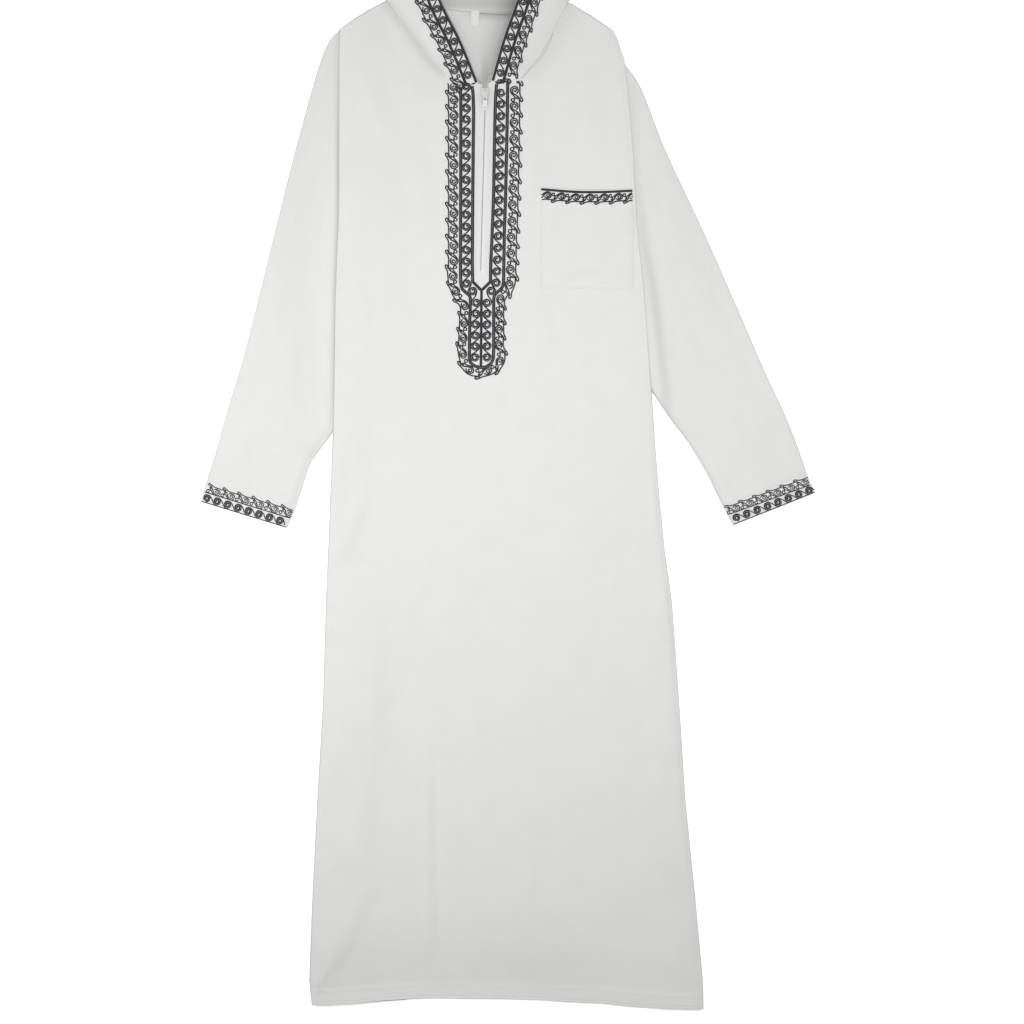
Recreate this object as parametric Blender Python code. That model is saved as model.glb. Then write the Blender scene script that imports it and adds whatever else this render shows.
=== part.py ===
"""A hooded thobe laid flat on its back, built the way it is cut and sewn.

The garment frame: X to the right as seen from above, Y from the hem up to the hood, Z up off the surface.
Every cloth piece is a sheet of points along the middle of the cloth, thickened to the cloth's wall.
All sizes are in millimetres until a mesh is made.
"""

import math

import bmesh
import bpy
import numpy as np

MM = 0.001
WALL = 1.2
SEAM_GAP = 0.3
HEM_WALL = 2.0
TAPE_WALL = 1.0

# Heights of the middle of each layer above the surface that the garment lies on
BACK_MID = WALL / 2
FRONT_MID = BACK_MID + WALL + SEAM_GAP
LAYER_RISE = 2.8
UPPER_MID = BACK_MID + LAYER_RISE
OVER_SLEEVE_MID = UPPER_MID + WALL + SEAM_GAP
FOLD_RADIUS = LAYER_RISE / 2

# The rolled side edge of the front: the roll's radius and how much higher it puffs than the panel beside it
ROLL_RADIUS = 1.5
ROLL_DROP = ROLL_RADIUS + WALL / 2
ROLL_INSET = ROLL_RADIUS + WALL / 2
SIDE_PUFF = 0.8
ROLL_ANGLES = (30, 60, 90)

# The body's outline, from hem to shoulder: height, left edge, right edge
SIDE_EDGES = (
    (-4, -263, 285),
    (36, -267, 284),
    (148, -263, 274),
    (288, -256, 260),
    (428, -248, 251),
    (568, -244, 241),
    (638, -241, 231),
    (708, -238, 224),
    (804, -234, 216),
    (853, -233, 212.5),
    (994, -231, 202.5),
    (1052, -229, 196.5),
    (1091, -227, 192),
    (1145, -226, 189),
    (1184, -226, 187.5),
    (1268, -226, 180.5),
    (1324, -226, 174),
    (1352, -225.5, 165),
    (1366, -225, 157),
)

# The front hem's edge, left to right: across, height
FRONT_HEM = (
    (-263, 2),
    (-211, 4.5),
    (-127, 10),
    (-98, 11),
    (0, 10),
    (56, 8.5),
    (98, 5.5),
    (144, 3.5),
    (185, -1),
    (237, -4),
    (285, -3.5),
)
BACK_HEM_PEEK = 1.6
BACK_HEM_SHORT = 1.0
# The height at which the back's edge leaves the side, and the one from which it runs along the sleeve's edge
BACK_SIDE_TOP = 770
UNDERARM_FROM = 790
PEEK_FROM, PEEK_TO = -215, -125
HEM_TURN = 20
HEM_LIFT = 1.8
HEM_LIFT_REACH = 30

# The zip line on the front, from hem to neck: height, across
CENTRE_LINE = ((0, 9), (300, -4), (600, -17), (895, -27), (1028, -27), (1252, -21), (1400, -20.5))
ZIP_BOTTOM = 1028
# Above this height the slit starts to part over the slider, and above the second it is open to the neck
SLIT_PARTS, SLIT_OPEN = 1262, 1284
# Half the slit's width, from its lower end to the neck: height, half width
SLIT_HALF = ((ZIP_BOTTOM, 0.5), (SLIT_PARTS, 0.5), (SLIT_OPEN, 3.5), (1310, 3.5))

# Necklines, from the zip or the centre back out to the shoulder: across, height
NECK_FRONT = {
    "left": ((-30, 1291.5), (-69, 1295), (-94.5, 1320), (-129, 1366), (-161, 1407)),
    "right": ((-12.6, 1295), (27, 1297), (57, 1331), (73, 1358), (97, 1405)),
}
NECK_BACK = {
    "left": ((-28, 1390), (-66, 1394.5), (-112, 1400), (-161, 1407)),
    "right": ((-28, 1390), (8, 1387.5), (50, 1394), (97, 1405)),
}
SHOULDER = {
    "left": ((-161, 1407), (-195, 1387), (-225, 1366.5)),
    "right": ((97, 1405), (126, 1387), (157, 1366)),
}
NECK_SHIFT = {"left": (-0.25, -0.35), "right": (0.25, -0.35)}
FRONT_TOP_AT_SLIT = 1290.5
# How far below the front neckline the front stays lifted to meet the hood, and where it is down again
NECK_LIFT_FLAT, NECK_LIFT_GONE = 8, 70

# Sleeve outlines, from the armhole to the cuff: outer edge across, height, underarm edge across, height
SLEEVE = {
    "left": (
        (-208, 1370, -186, 965),
        (-230, 1362, -189, 938),
        (-251, 1324, -197, 905),
        (-287, 1198, -210, 866),
        (-322, 1058, -222, 834),
        (-357, 918, -234, 804),
        (-380, 841, -251, 780),
        (-400, 771, -267, 755),
        (-411, 735, -283, 705),
        (-419, 706, -298, 669),
    ),
    "right": (
        (152, 1352, 163, 985),
        (176, 1318, 169, 950),
        (199, 1282, 180, 915),
        (232, 1198, 196, 887),
        (279, 1098, 212, 861),
        (328, 988, 227, 838),
        (369, 893, 243, 815),
        (400, 826, 265, 786),
        (421, 772, 290, 744),
        (431, 742, 305, 713),
        (442, 719, 326, 673),
    ),
}
SLEEVE_LOFT = 1.8
# How far outside the body's edge the sleeve's loft starts, and where it is full
LOFT_FROM, LOFT_FULL = 12, 70
SLEEVE_ACROSS = 6
FOLD_STEPS = 3
# How far inside the sleeve's hidden edge the front stays lifted, and where it is down again
LIFT_FULL, LIFT_GONE = 15, 72

# The hood's halves, from neck to crown: opening edge, outer fold, centre back seam, each across and height
HOOD = {
    "left": (
        (-30, 1291.5, -161, 1407, -28, 1390),
        (-58, 1350, -172, 1443, -28, 1420),
        (-86, 1408, -179, 1487, -28, 1455),
        (-101, 1464, -180, 1536, -28, 1490),
        (-104, 1520, -174, 1591, -28, 1525),
        (-94, 1574, -155, 1645, -28, 1560),
        (-70, 1617, -117, 1695, -28, 1597),
        (-28, 1640, -28, 1735, -28, 1640),
    ),
    "right": (
        (-12.6, 1295, 97, 1405, -28, 1390),
        (6, 1351, 112, 1443, -28, 1420),
        (25, 1408, 122, 1487, -28, 1455),
        (41, 1464, 124, 1536, -28, 1490),
        (46, 1520, 118, 1591, -28, 1525),
        (38, 1574, 99, 1645, -28, 1560),
        (15, 1617, 61, 1695, -28, 1597),
        (-28, 1640, -28, 1735, -28, 1640),
    ),
}
HOOD_ROWS = 15
CROWN_GAP = 0.25
NECK_FADE = 0.3

# Pocket: outline corners on the front, and how far its mouth sags between them
POCKET_LEFT, POCKET_RIGHT = 57, 186.3
POCKET_BOTTOM = 1004
POCKET_MOUTH = (1146.5, 1144)
POCKET_SAG = 3.5
POCKET_GAP = 0.6
POCKET_ACROSS, POCKET_UP = 12, 8

# Zip: tapes under the slit's edges, and the height of each tape's upper end
TAPE_WIDTH = 14
TAPE_BELOW = 12
TAPE_TOP = {"left": 1296, "right": 1303}
# How far beside the zip the front stays lifted over the tapes, and where it is down; the same below the tapes
PLACKET_FLAT, PLACKET_GONE = 19, 52
PLACKET_END_FLAT, PLACKET_END_GONE = 6, 60

# Zip slider and its pull tab
SLIDER_X = -20.9
SLIDER_TOP, SLIDER_BOTTOM = 1284.8, 1269.8
SLIDER_HALF_TOP, SLIDER_HALF_BOTTOM = 5.6, 3.9
SLIDER_WALL = 1.2
SLIDER_CORNER = 1.6
STEM_TOP, STEM_BOTTOM = 1282.5, 1272.5
STEM_HALF_TOP, STEM_HALF_BOTTOM = 2.4, 1.2
BRIDGE_HALF = 1.1
BRIDGE_RISE = 3.3
BRIDGE_BAR = 1.0
BRIDGE_TOP_END = 1283.6
BRIDGE_LOW_LEG = 2.2
BRIDGE_CHAMFER = 0.8
# The bridge's sloping end: how long its outer slope is, its foot, and where its inner slope starts and ends
BRIDGE_SLOPE, BRIDGE_FOOT = 3.5, 1.2
BRIDGE_INNER_FOOT, BRIDGE_INNER_TOP = 3.2, 4.2
PULL_AXIS_Y = 1273.5
PULL_AXIS_RISE = 1.2
PULL_BAR_RADIUS = 0.7
PULL_WALL = 1.2
PULL_TILT = 5.0
PULL_EYE_HALF, PULL_EYE_LENGTH = 1.6, 5.6
PULL_TIP_HOLE = (16.0, 0.9)
# Half width of the pull tab along its length: distance from the axis, half width
PULL_OUTLINE = ((0, 2.9), (6, 2.9), (11, 3.1), (15, 3.6), (17.5, 3.3), (19.2, 2.2), (20, 0.8))

# Neck label: a blank strip on the back neck seam
TAG_LEFT, TAG_RIGHT = -41, -29.5
TAG_BOTTOM, TAG_TOP = 1373, 1394.5

# Folds that the front is left with: start across and height, end across and height, half width, rise.
# A fold is highest at its start and fades over the last part of its length.
FOLD_FADE = 0.25
FOLDS = (
    (-262, 0, -196, 150, 20, 2.6),
    (276, 0, 226, 150, 18, 2.6),
    (-212, 800, -196, 715, 14, 1.2),
    (-196, 715, -236, 610, 14, 1.0),
    (-95, 390, -95, 20, 22, 0.8),
    (35, 200, 35, 15, 20, 0.8),
)

# Shares of the way from the zip line to the side edge at which the front's columns of points stand
FRONT_COLUMNS = {
    "left": (0, 0.1, 0.226, 0.352, 0.44, 0.522, 0.605, 0.682, 0.75, 0.81, 0.87, 0.925, 0.97, 1),
    "right": (0, 0.12, 0.252, 0.34, 0.425, 0.518, 0.59, 0.655, 0.73, 0.8, 0.865, 0.925, 0.97, 1),
}
FRONT_ROWS = 38
HEM_STEP = 1.1
FIRST_ROW_ABOVE_HEM = 2.4
PUFF_FROM = 0.9


def smoothstep(low, high, value):
    t = np.clip((value - low) / (high - low), 0, 1)
    return t * t * (3 - 2 * t)


def along(table, column, value):
    """Reads a table at a value of its first column."""
    rows = np.array(table, float)
    return np.interp(value, rows[:, 0], rows[:, column])


def smooth_rows(table, count):
    """More rows on smooth curves through a table's rows (Catmull-Rom)."""
    rows = np.array(table, float)
    padded = np.vstack([2 * rows[0] - rows[1], rows, 2 * rows[-1] - rows[-2]])
    result = []
    for station in np.linspace(0, len(rows) - 1, count):
        i = min(int(station), len(rows) - 2)
        t = station - i
        a, b, c, d = padded[i : i + 4]
        curve = 2 * b + (c - a) * t + (2 * a - 5 * b + 4 * c - d) * t**2
        result.append((curve + (3 * b - a - 3 * c + d) * t**3) / 2)
    return np.array(result)


def polyline_fractions(points):
    """The share of the whole length at which each corner of a polyline lies."""
    steps = np.linalg.norm(np.diff(np.array(points, float), axis=0), axis=1)
    return np.concatenate([[0], np.cumsum(steps)]) / steps.sum()


def on_polyline(points, share):
    corners = np.array(points, float)
    fractions = polyline_fractions(points)
    return np.array([np.interp(share, fractions, corners[:, 0]), np.interp(share, fractions, corners[:, 1])])


def outward_normals(points, away_from):
    """Unit normals of an outline in the plane, on the side that faces away from a second outline."""
    tangents = np.gradient(points, axis=0)
    normals = np.stack([tangents[:, 1], -tangents[:, 0]], axis=1)
    normals /= np.linalg.norm(normals, axis=1)[:, None]
    facing = np.sign(np.sum(normals * (points - away_from), axis=1))
    return normals * facing[:, None]


def sleeve_edge(side, height):
    """How far across the sleeve's hidden edge runs at a height, where it goes under the body."""
    rows = SLEEVE[side]
    under = [(row[3], row[2]) for row in rows]
    points = sorted(under + [(rows[0][1], rows[0][0])])
    return along(points, 1, height)


def lift_over_sleeve(x, y):
    """1 where the front lies over a sleeve, 0 where it is down on the back."""
    inside_left = x - sleeve_edge("left", y)
    inside_right = sleeve_edge("right", y) - x
    return 1 - smoothstep(LIFT_FULL, LIFT_GONE, np.minimum(inside_left, inside_right))


def lift_at_placket(x, y):
    """1 over the zip tapes, fading to 0 beside and below them."""
    beside = abs(x - along(CENTRE_LINE, 1, y))
    across = 1 - smoothstep(PLACKET_FLAT, PLACKET_GONE, beside)
    below = ZIP_BOTTOM - TAPE_BELOW - y
    return across * (1 - smoothstep(PLACKET_END_FLAT, PLACKET_END_GONE, below))


def lift_at_neck(x, y):
    """1 along the front neckline, where the front meets the hood's upper layer, fading to 0 below it."""
    side = "left" if x < along(CENTRE_LINE, 1, y) else "right"
    neckline = sorted(NECK_FRONT[side])
    seam = np.interp(x, [point[0] for point in neckline], [point[1] for point in neckline])
    return 1 - smoothstep(NECK_LIFT_FLAT, NECK_LIFT_GONE, seam - y)


def fold_rise(x, y):
    """How much the folds left in the front raise it."""
    rise = 0.0
    for x0, y0, x1, y1, half_width, height in FOLDS:
        run = np.array([x1 - x0, y1 - y0], float)
        offset = np.array([x - x0, y - y0], float)
        share = np.clip(offset @ run / (run @ run), 0, 1)
        beside = np.linalg.norm(offset - share * run)
        fade = smoothstep(0, FOLD_FADE, 1 - share) * (1 - share / 2)
        rise += height * fade * math.exp(-((beside / half_width) ** 2))
    return rise


def hem_lift(x, y):
    """The front hem stands a little off the back hem where the back hem shows."""
    middle, half = (PEEK_FROM + PEEK_TO) / 2, (PEEK_TO - PEEK_FROM) / 2
    return HEM_LIFT * math.exp(-(((x - middle) / half) ** 2)) * math.exp(-max(y, 0) / HEM_LIFT_REACH)


def front_mid(x, y):
    """Height of the middle of the front's cloth."""
    over_sleeve = (OVER_SLEEVE_MID - FRONT_MID) * lift_over_sleeve(x, y)
    over_zip = (UPPER_MID - FRONT_MID) * max(lift_at_placket(x, y), lift_at_neck(x, y))
    return FRONT_MID + max(over_sleeve, over_zip) + fold_rise(x, y) + hem_lift(x, y)


def plain_material(name, colour, roughness, metallic=0.0):
    material = bpy.data.materials.new(name)
    material.use_nodes = True
    shader = material.node_tree.nodes["Principled BSDF"]
    shader.inputs["Base Color"].default_value = (*colour, 1)
    shader.inputs["Roughness"].default_value = roughness
    shader.inputs["Metallic"].default_value = metallic
    return material


def add_object(name, shape, material, parent):
    """Makes an object of a bmesh whose points are in millimetres."""
    bmesh.ops.recalc_face_normals(shape, faces=shape.faces)
    bmesh.ops.scale(shape, vec=(MM, MM, MM), verts=shape.verts)
    mesh = bpy.data.meshes.new(name)
    shape.to_mesh(mesh)
    shape.free()
    mesh.shade_smooth()
    mesh.set_sharp_from_angle(angle=math.radians(40))
    mesh.materials.append(material)
    result = bpy.data.objects.new(name, mesh)
    result.parent = parent
    bpy.context.scene.collection.objects.link(result)
    return result


def thicken(cloth, wall, turned=(), turned_wall=None):
    """Gives a sheet its wall, half on each side; points in turned take a turned hem's thicker wall."""
    solidify = cloth.modifiers.new("wall", "SOLIDIFY")
    solidify.thickness = wall * MM
    solidify.offset = 0
    solidify.use_even_offset = True
    solidify.use_quality_normals = True
    if turned_wall:
        group = cloth.vertex_groups.new(name="turned_hem")
        group.add(turned, 1.0, "REPLACE")
        solidify.thickness = turned_wall * MM
        solidify.vertex_group = group.name
        solidify.thickness_vertex_group = wall / turned_wall


def sheet(name, rows, material, parent, wall=WALL, ring=False):
    """A cloth sheet over rows of points; a ring joins each row's two ends, as round a sleeve."""
    shape = bmesh.new()
    grid = [[shape.verts.new(point) for point in row] for row in rows]
    for low, high in zip(grid, grid[1:]):
        for i in range(len(low) if ring else len(low) - 1):
            j = (i + 1) % len(low)
            shape.faces.new((low[i], low[j], high[j], high[i]))
    cloth = add_object(name, shape, material, parent)
    thicken(cloth, wall)
    return cloth


def plate(name, outline, low, high, material, parent):
    """A flat piece: an outline in the plane, from one height to another."""
    shape = bmesh.new()
    face = shape.faces.new([shape.verts.new((x, y, low)) for x, y in outline])
    raised = bmesh.ops.extrude_face_region(shape, geom=[face])
    top = [item for item in raised["geom"] if isinstance(item, bmesh.types.BMVert)]
    bmesh.ops.translate(shape, vec=(0, 0, high - low), verts=top)
    return add_object(name, shape, material, parent)


def front_column(side, share, height):
    """A point of the front's flat part: share is 0 at the slit, 1 at the side; height is 0 at the hem."""
    centre_top = along(CENTRE_LINE, 1, FRONT_TOP_AT_SLIT)
    sign = -1 if side == "left" else 1
    slit_edge = centre_top + sign * along(SLIT_HALF, 1, FRONT_TOP_AT_SLIT)
    shift = np.array(NECK_SHIFT[side])
    neckline = [(slit_edge, FRONT_TOP_AT_SLIT)]
    neckline += [tuple(np.array(point) + shift) for point in NECK_FRONT[side]]
    top_edge = neckline + list(SHOULDER[side][1:])
    tip = top_edge[-1][0]
    top_x = slit_edge + share * (tip - slit_edge)
    ordered = sorted(top_edge)
    top_y = np.interp(top_x, [point[0] for point in ordered], [point[1] for point in ordered])
    column = 1 if side == "left" else 2
    hem_centre, hem_side = along(CENTRE_LINE, 1, 0), SIDE_EDGES[0][column]
    hem_y = along(FRONT_HEM, 1, hem_centre + share * (hem_side - hem_centre))
    y = hem_y + height * (top_y - hem_y)
    centre = along(CENTRE_LINE, 1, y)
    if height > slit_start():
        centre += sign * along(SLIT_HALF, 1, y)
    side_x = along(SIDE_EDGES, column, y) - sign * ROLL_INSET
    return centre + share * (side_x - centre), y


def share_of_height(y):
    """The share of the front's height at which the centre column reaches a height."""
    hem = along(FRONT_HEM, 1, along(CENTRE_LINE, 1, 0))
    return (y - hem) / (FRONT_TOP_AT_SLIT - hem)


def slit_start():
    return share_of_height(ZIP_BOTTOM)


def front_heights():
    """Shares of the front's height for its rows: the turned hem, even rows, and the slit's own."""
    hem_share = HEM_TURN / FRONT_TOP_AT_SLIT
    lower = np.linspace(FIRST_ROW_ABOVE_HEM * hem_share, slit_start(), round(FRONT_ROWS * slit_start()))
    slit_parts, slit_open = share_of_height(SLIT_PARTS), share_of_height(SLIT_OPEN)
    upper = np.linspace(slit_start(), slit_parts, FRONT_ROWS - len(lower))[1:]
    return [0, hem_share, hem_share * HEM_STEP, *lower, *upper, slit_open, 1]


def rolled_edge(side, x, y, middle):
    """The side edge's roll: points from the flat part round and down to the cloth's edge."""
    sign = -1 if side == "left" else 1
    points = []
    for angle in ROLL_ANGLES:
        turn = math.radians(angle)
        out = ROLL_RADIUS * math.sin(turn)
        down = ROLL_RADIUS * (1 - math.cos(turn))
        points.append((x + sign * out, y, middle - down))
    points.append((x + sign * ROLL_RADIUS, y, middle - ROLL_DROP))
    return points


def edge_mid(x, y):
    """Height of the cloth where the side roll starts, so that its free edge just clears what is under it."""
    stands_on = (UPPER_MID + WALL / 2 + SEAM_GAP) * lift_over_sleeve(x, y)
    return stands_on + ROLL_DROP


def front_half(side):
    """Rows of points from the slit to the side edge's roll, from hem to neck."""
    rows = []
    for height in front_heights():
        row = []
        for share in FRONT_COLUMNS[side]:
            x, y = front_column(side, share, height)
            raised = (HEM_WALL - WALL) / 2 if height <= HEM_TURN / FRONT_TOP_AT_SLIT else 0
            middle = front_mid(x, y) + raised
            if share == 1:
                middle = edge_mid(x, y)
            elif share > PUFF_FROM:
                middle = max(middle, edge_mid(x, y)) + SIDE_PUFF
            row.append((x, y, middle))
        row += rolled_edge(side, *row[-1])
        rows.append(row)
    return rows


def make_front(material, parent):
    """The front: two halves in one piece below the slit, parted above it."""
    shape = bmesh.new()
    heights = front_heights()
    grids = {}
    shared = {}
    turned = []
    for side in ("left", "right"):
        grid = []
        for index, row in enumerate(front_half(side)):
            verts = []
            for place, point in enumerate(row):
                joined = place == 0 and heights[index] <= slit_start()
                if joined and index in shared:
                    verts.append(shared[index])
                    continue
                vert = shape.verts.new(point)
                verts.append(vert)
                if joined:
                    shared[index] = vert
                if index < 2:
                    turned.append(vert)
            grid.append(verts)
        grids[side] = grid
    for grid in grids.values():
        for low, high in zip(grid, grid[1:]):
            for i in range(len(low) - 1):
                shape.faces.new((low[i], low[i + 1], high[i + 1], high[i]))
    shape.verts.index_update()
    turned = [vert.index for vert in turned]
    front = add_object("front", shape, material, parent)
    thicken(front, WALL, turned, HEM_WALL)
    return front


def back_side(side):
    """The back's edge from hem to shoulder tip: beside the front's rolled edge, then along the armhole."""
    sign = -1 if side == "left" else 1
    edge = []
    for row in front_half(side):
        x, y, _ = row[-1]
        x -= sign * (WALL / 2 + SEAM_GAP)
        if y < BACK_SIDE_TOP:
            edge.append((x, y))
    outer, under, out_normals, under_normals = sleeve_plan(side)
    gap = 2 * SEAM_GAP
    for point, normal in zip(under[::-1], under_normals[::-1]):
        x, y = point + normal * gap
        if y > UNDERARM_FROM and sign * (edge[-1][0] - x) > 0:
            edge.append((x, y))
    inset = FOLD_RADIUS + WALL / 2
    for place in (under[0] - under_normals[0] * inset, outer[0] - out_normals[0] * inset):
        edge.append((place[0] - sign * gap, place[1]))
    return edge


def back_top(side, tip):
    """The back's top edge from the centre out along the neckline and the shoulder, to above the armhole."""
    edge = list(NECK_BACK[side]) + list(SHOULDER[side][1:])
    inner = [point for point in edge if abs(point[0] - edge[0][0]) < abs(tip - edge[0][0])]
    ordered = sorted(edge)
    height = np.interp(tip, [point[0] for point in ordered], [point[1] for point in ordered])
    return [(x, y - SEAM_GAP) for x, y in inner + [(tip, height)]]


def make_back(material, parent):
    left, right = back_side("left"), back_side("right")
    hem = []
    for x, y in FRONT_HEM:
        if left[0][0] + 1 < x < right[0][0] - 1:
            drop = BACK_HEM_PEEK if PEEK_FROM < x < PEEK_TO else -BACK_HEM_SHORT
            hem.append((x, y - drop))
    top = back_top("right", right[-1][0])[::-1] + back_top("left", left[-1][0])[1:]
    outline = hem + right + top + left[::-1]
    return plate("back", outline, 0, WALL, material, parent)


def sleeve_plan(side):
    """The sleeve's outlines in the plane, with their outward normals."""
    table = np.array(SLEEVE[side], float)
    outer, under = table[:, :2], table[:, 2:]
    return outer, under, outward_normals(outer, under), outward_normals(under, outer)


def sleeve_rings(side):
    """Rings of points round the flattened sleeve, from the armhole to the cuff."""
    inset = FOLD_RADIUS + WALL / 2
    rings = []
    for o, u, n_o, n_u in zip(*sleeve_plan(side)):
        o_in, u_in = o - n_o * inset, u - n_u * inset
        upper, lower = [], []
        for i in range(SLEEVE_ACROSS + 1):
            share = i / SLEEVE_ACROSS
            x, y = o_in + share * (u_in - o_in)
            upper.append((x, y, UPPER_MID + sleeve_loft(side, x, y, share)))
            lower.append((x, y, BACK_MID))
        ring = upper + fold_points(u_in, n_u) + lower[::-1] + fold_points(o_in, n_o)[::-1]
        rings.append(ring)
    return rings


def sleeve_loft(side, x, y, share):
    """How much air the sleeve holds: none under the body's edge or at the sleeve's folds."""
    column = 1 if side == "left" else 2
    sign = -1 if side == "left" else 1
    outside = sign * (x - along(SIDE_EDGES, column, y))
    return SLEEVE_LOFT * math.sin(math.pi * share) * smoothstep(LOFT_FROM, LOFT_FULL, outside)


def fold_points(place, normal):
    """Points round a fold's half circle, from the upper layer to the lower one, without its ends."""
    points = []
    for step in range(1, FOLD_STEPS + 1):
        turn = math.pi * step / (FOLD_STEPS + 1)
        x, y = place + normal * FOLD_RADIUS * math.sin(turn)
        points.append((x, y, BACK_MID + FOLD_RADIUS * (1 + math.cos(turn))))
    return points


def hood_rows(side):
    """Rows of points from the opening edge, round the outer fold, to the centre back seam."""
    sign = -1 if side == "left" else 1
    table = smooth_rows(HOOD[side], HOOD_ROWS)
    opening, fold, back = table[:, 0:2], table[:, 2:4], table[:, 4:6]
    back = back + (sign * SEAM_GAP / 2, 0)
    opening = opening.copy()
    fold = fold.copy()
    opening[-1, 0] += sign * CROWN_GAP
    fold[-1, 0] += sign * CROWN_GAP
    normals = outward_normals(fold, (opening + back) / 2)
    normals[-1] = (0, 1)
    inset = FOLD_RADIUS + WALL / 2
    upper_shares = with_midpoints(polyline_fractions(NECK_FRONT[side]))
    lower_shares = with_midpoints(polyline_fractions(NECK_BACK[side]))[::-1]
    rows = []
    for index in range(HOOD_ROWS):
        near_neck = 1 - smoothstep(0, NECK_FADE, index / (HOOD_ROWS - 1))
        place = fold[index] - normals[index] * inset
        upper = []
        for share in upper_shares:
            straight = opening[index] + share * (place - opening[index])
            first = opening[0] + share * (np.array(NECK_FRONT[side][-1]) - opening[0])
            bend = near_neck * (on_polyline(NECK_FRONT[side], share) - first)
            upper.append((*(straight + bend), UPPER_MID))
        lower = []
        for share in lower_shares:
            straight = back[index] + share * (place - back[index])
            first = np.array(NECK_BACK[side][0]) + share * (
                np.array(NECK_BACK[side][-1]) - np.array(NECK_BACK[side][0])
            )
            bend = near_neck * (on_polyline(NECK_BACK[side], share) - first)
            lower.append((*(straight + bend), BACK_MID))
        rows.append(upper + fold_points(place, normals[index]) + lower)
    return rows


def with_midpoints(shares):
    return np.sort(np.concatenate([shares, (shares[1:] + shares[:-1]) / 2]))


def front_surface(rows, x, y):
    """Height of the middle of the front's cloth, read from its own rows of points."""
    heights, levels = [], []
    for row in rows:
        points = np.array(row)
        flat = points[: len(FRONT_COLUMNS["right"])]
        heights.append(np.interp(x, flat[:, 0], flat[:, 1]))
        levels.append(np.interp(x, flat[:, 0], flat[:, 2]))
    return float(np.interp(y, heights, levels))


def make_pocket(material, parent):
    """The patch pocket: it lies on the front's own surface, moved out, open at the mouth."""
    flat = front_half("right")
    rows = []
    for up in np.linspace(0, 1, POCKET_UP + 1):
        row = []
        for share in np.linspace(0, 1, POCKET_ACROSS + 1):
            x = POCKET_LEFT + share * (POCKET_RIGHT - POCKET_LEFT)
            mouth = POCKET_MOUTH[0] + share * (POCKET_MOUTH[1] - POCKET_MOUTH[0])
            mouth -= POCKET_SAG * math.sin(math.pi * share)
            y = POCKET_BOTTOM + up * (mouth - POCKET_BOTTOM)
            row.append((x, y, front_surface(flat, x, y) + WALL + POCKET_GAP))
        rows.append(row)
    return sheet("pocket", rows, material, parent)


def make_tape(side, material, parent):
    """One zip tape: it lies under the front beside the slit and ends just past the neck seam."""
    sign = -1 if side == "left" else 1
    low = WALL + SEAM_GAP
    high = low + TAPE_WALL
    heights = [ZIP_BOTTOM - TAPE_BELOW, ZIP_BOTTOM, SLIT_PARTS, SLIT_OPEN, TAPE_TOP[side]]
    inner, outer = [], []
    for y in heights:
        edge = along(CENTRE_LINE, 1, y) + sign * along(SLIT_HALF, 1, y)
        inner.append((edge, y))
        outer.append((along(CENTRE_LINE, 1, y) + sign * TAPE_WIDTH, y))
    return plate("zip_tape_" + side, inner + outer[::-1], low, high, material, parent)


def rounded_corners(corners, radius, steps=4):
    """A closed outline whose corners are arcs."""
    points = np.array(corners, float)
    outline = []
    for before, corner, after in zip(np.roll(points, 1, 0), points, np.roll(points, -1, 0)):
        start = corner + (before - corner) / np.linalg.norm(before - corner) * radius
        end = corner + (after - corner) / np.linalg.norm(after - corner) * radius
        for t in np.linspace(0, 1, steps):
            outline.append(tuple((1 - t) ** 2 * start + 2 * t * (1 - t) * corner + t**2 * end))
    return outline


def join_to(main, helper):
    """Joins a hidden helper to an object as one solid."""
    union = main.modifiers.new("join_" + helper.name, "BOOLEAN")
    union.operation = "UNION"
    union.object = helper
    hide_helper(helper)


def cut_from(main, cutter):
    cut = main.modifiers.new("cut_" + cutter.name, "BOOLEAN")
    cut.operation = "DIFFERENCE"
    cut.object = cutter
    hide_helper(cutter)


def hide_helper(helper):
    helper.hide_render = True
    helper.display_type = "WIRE"


def profile_bar(name, profile, half_width, x, material, parent):
    """A side profile of height and rise points, made into a bar across X."""
    shape = bmesh.new()
    face = shape.faces.new([shape.verts.new((x - half_width, y, z)) for y, z in profile])
    pushed = bmesh.ops.extrude_face_region(shape, geom=[face])
    moved = [item for item in pushed["geom"] if isinstance(item, bmesh.types.BMVert)]
    bmesh.ops.translate(shape, vec=(2 * half_width, 0, 0), verts=moved)
    return add_object(name, shape, material, parent)


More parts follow.
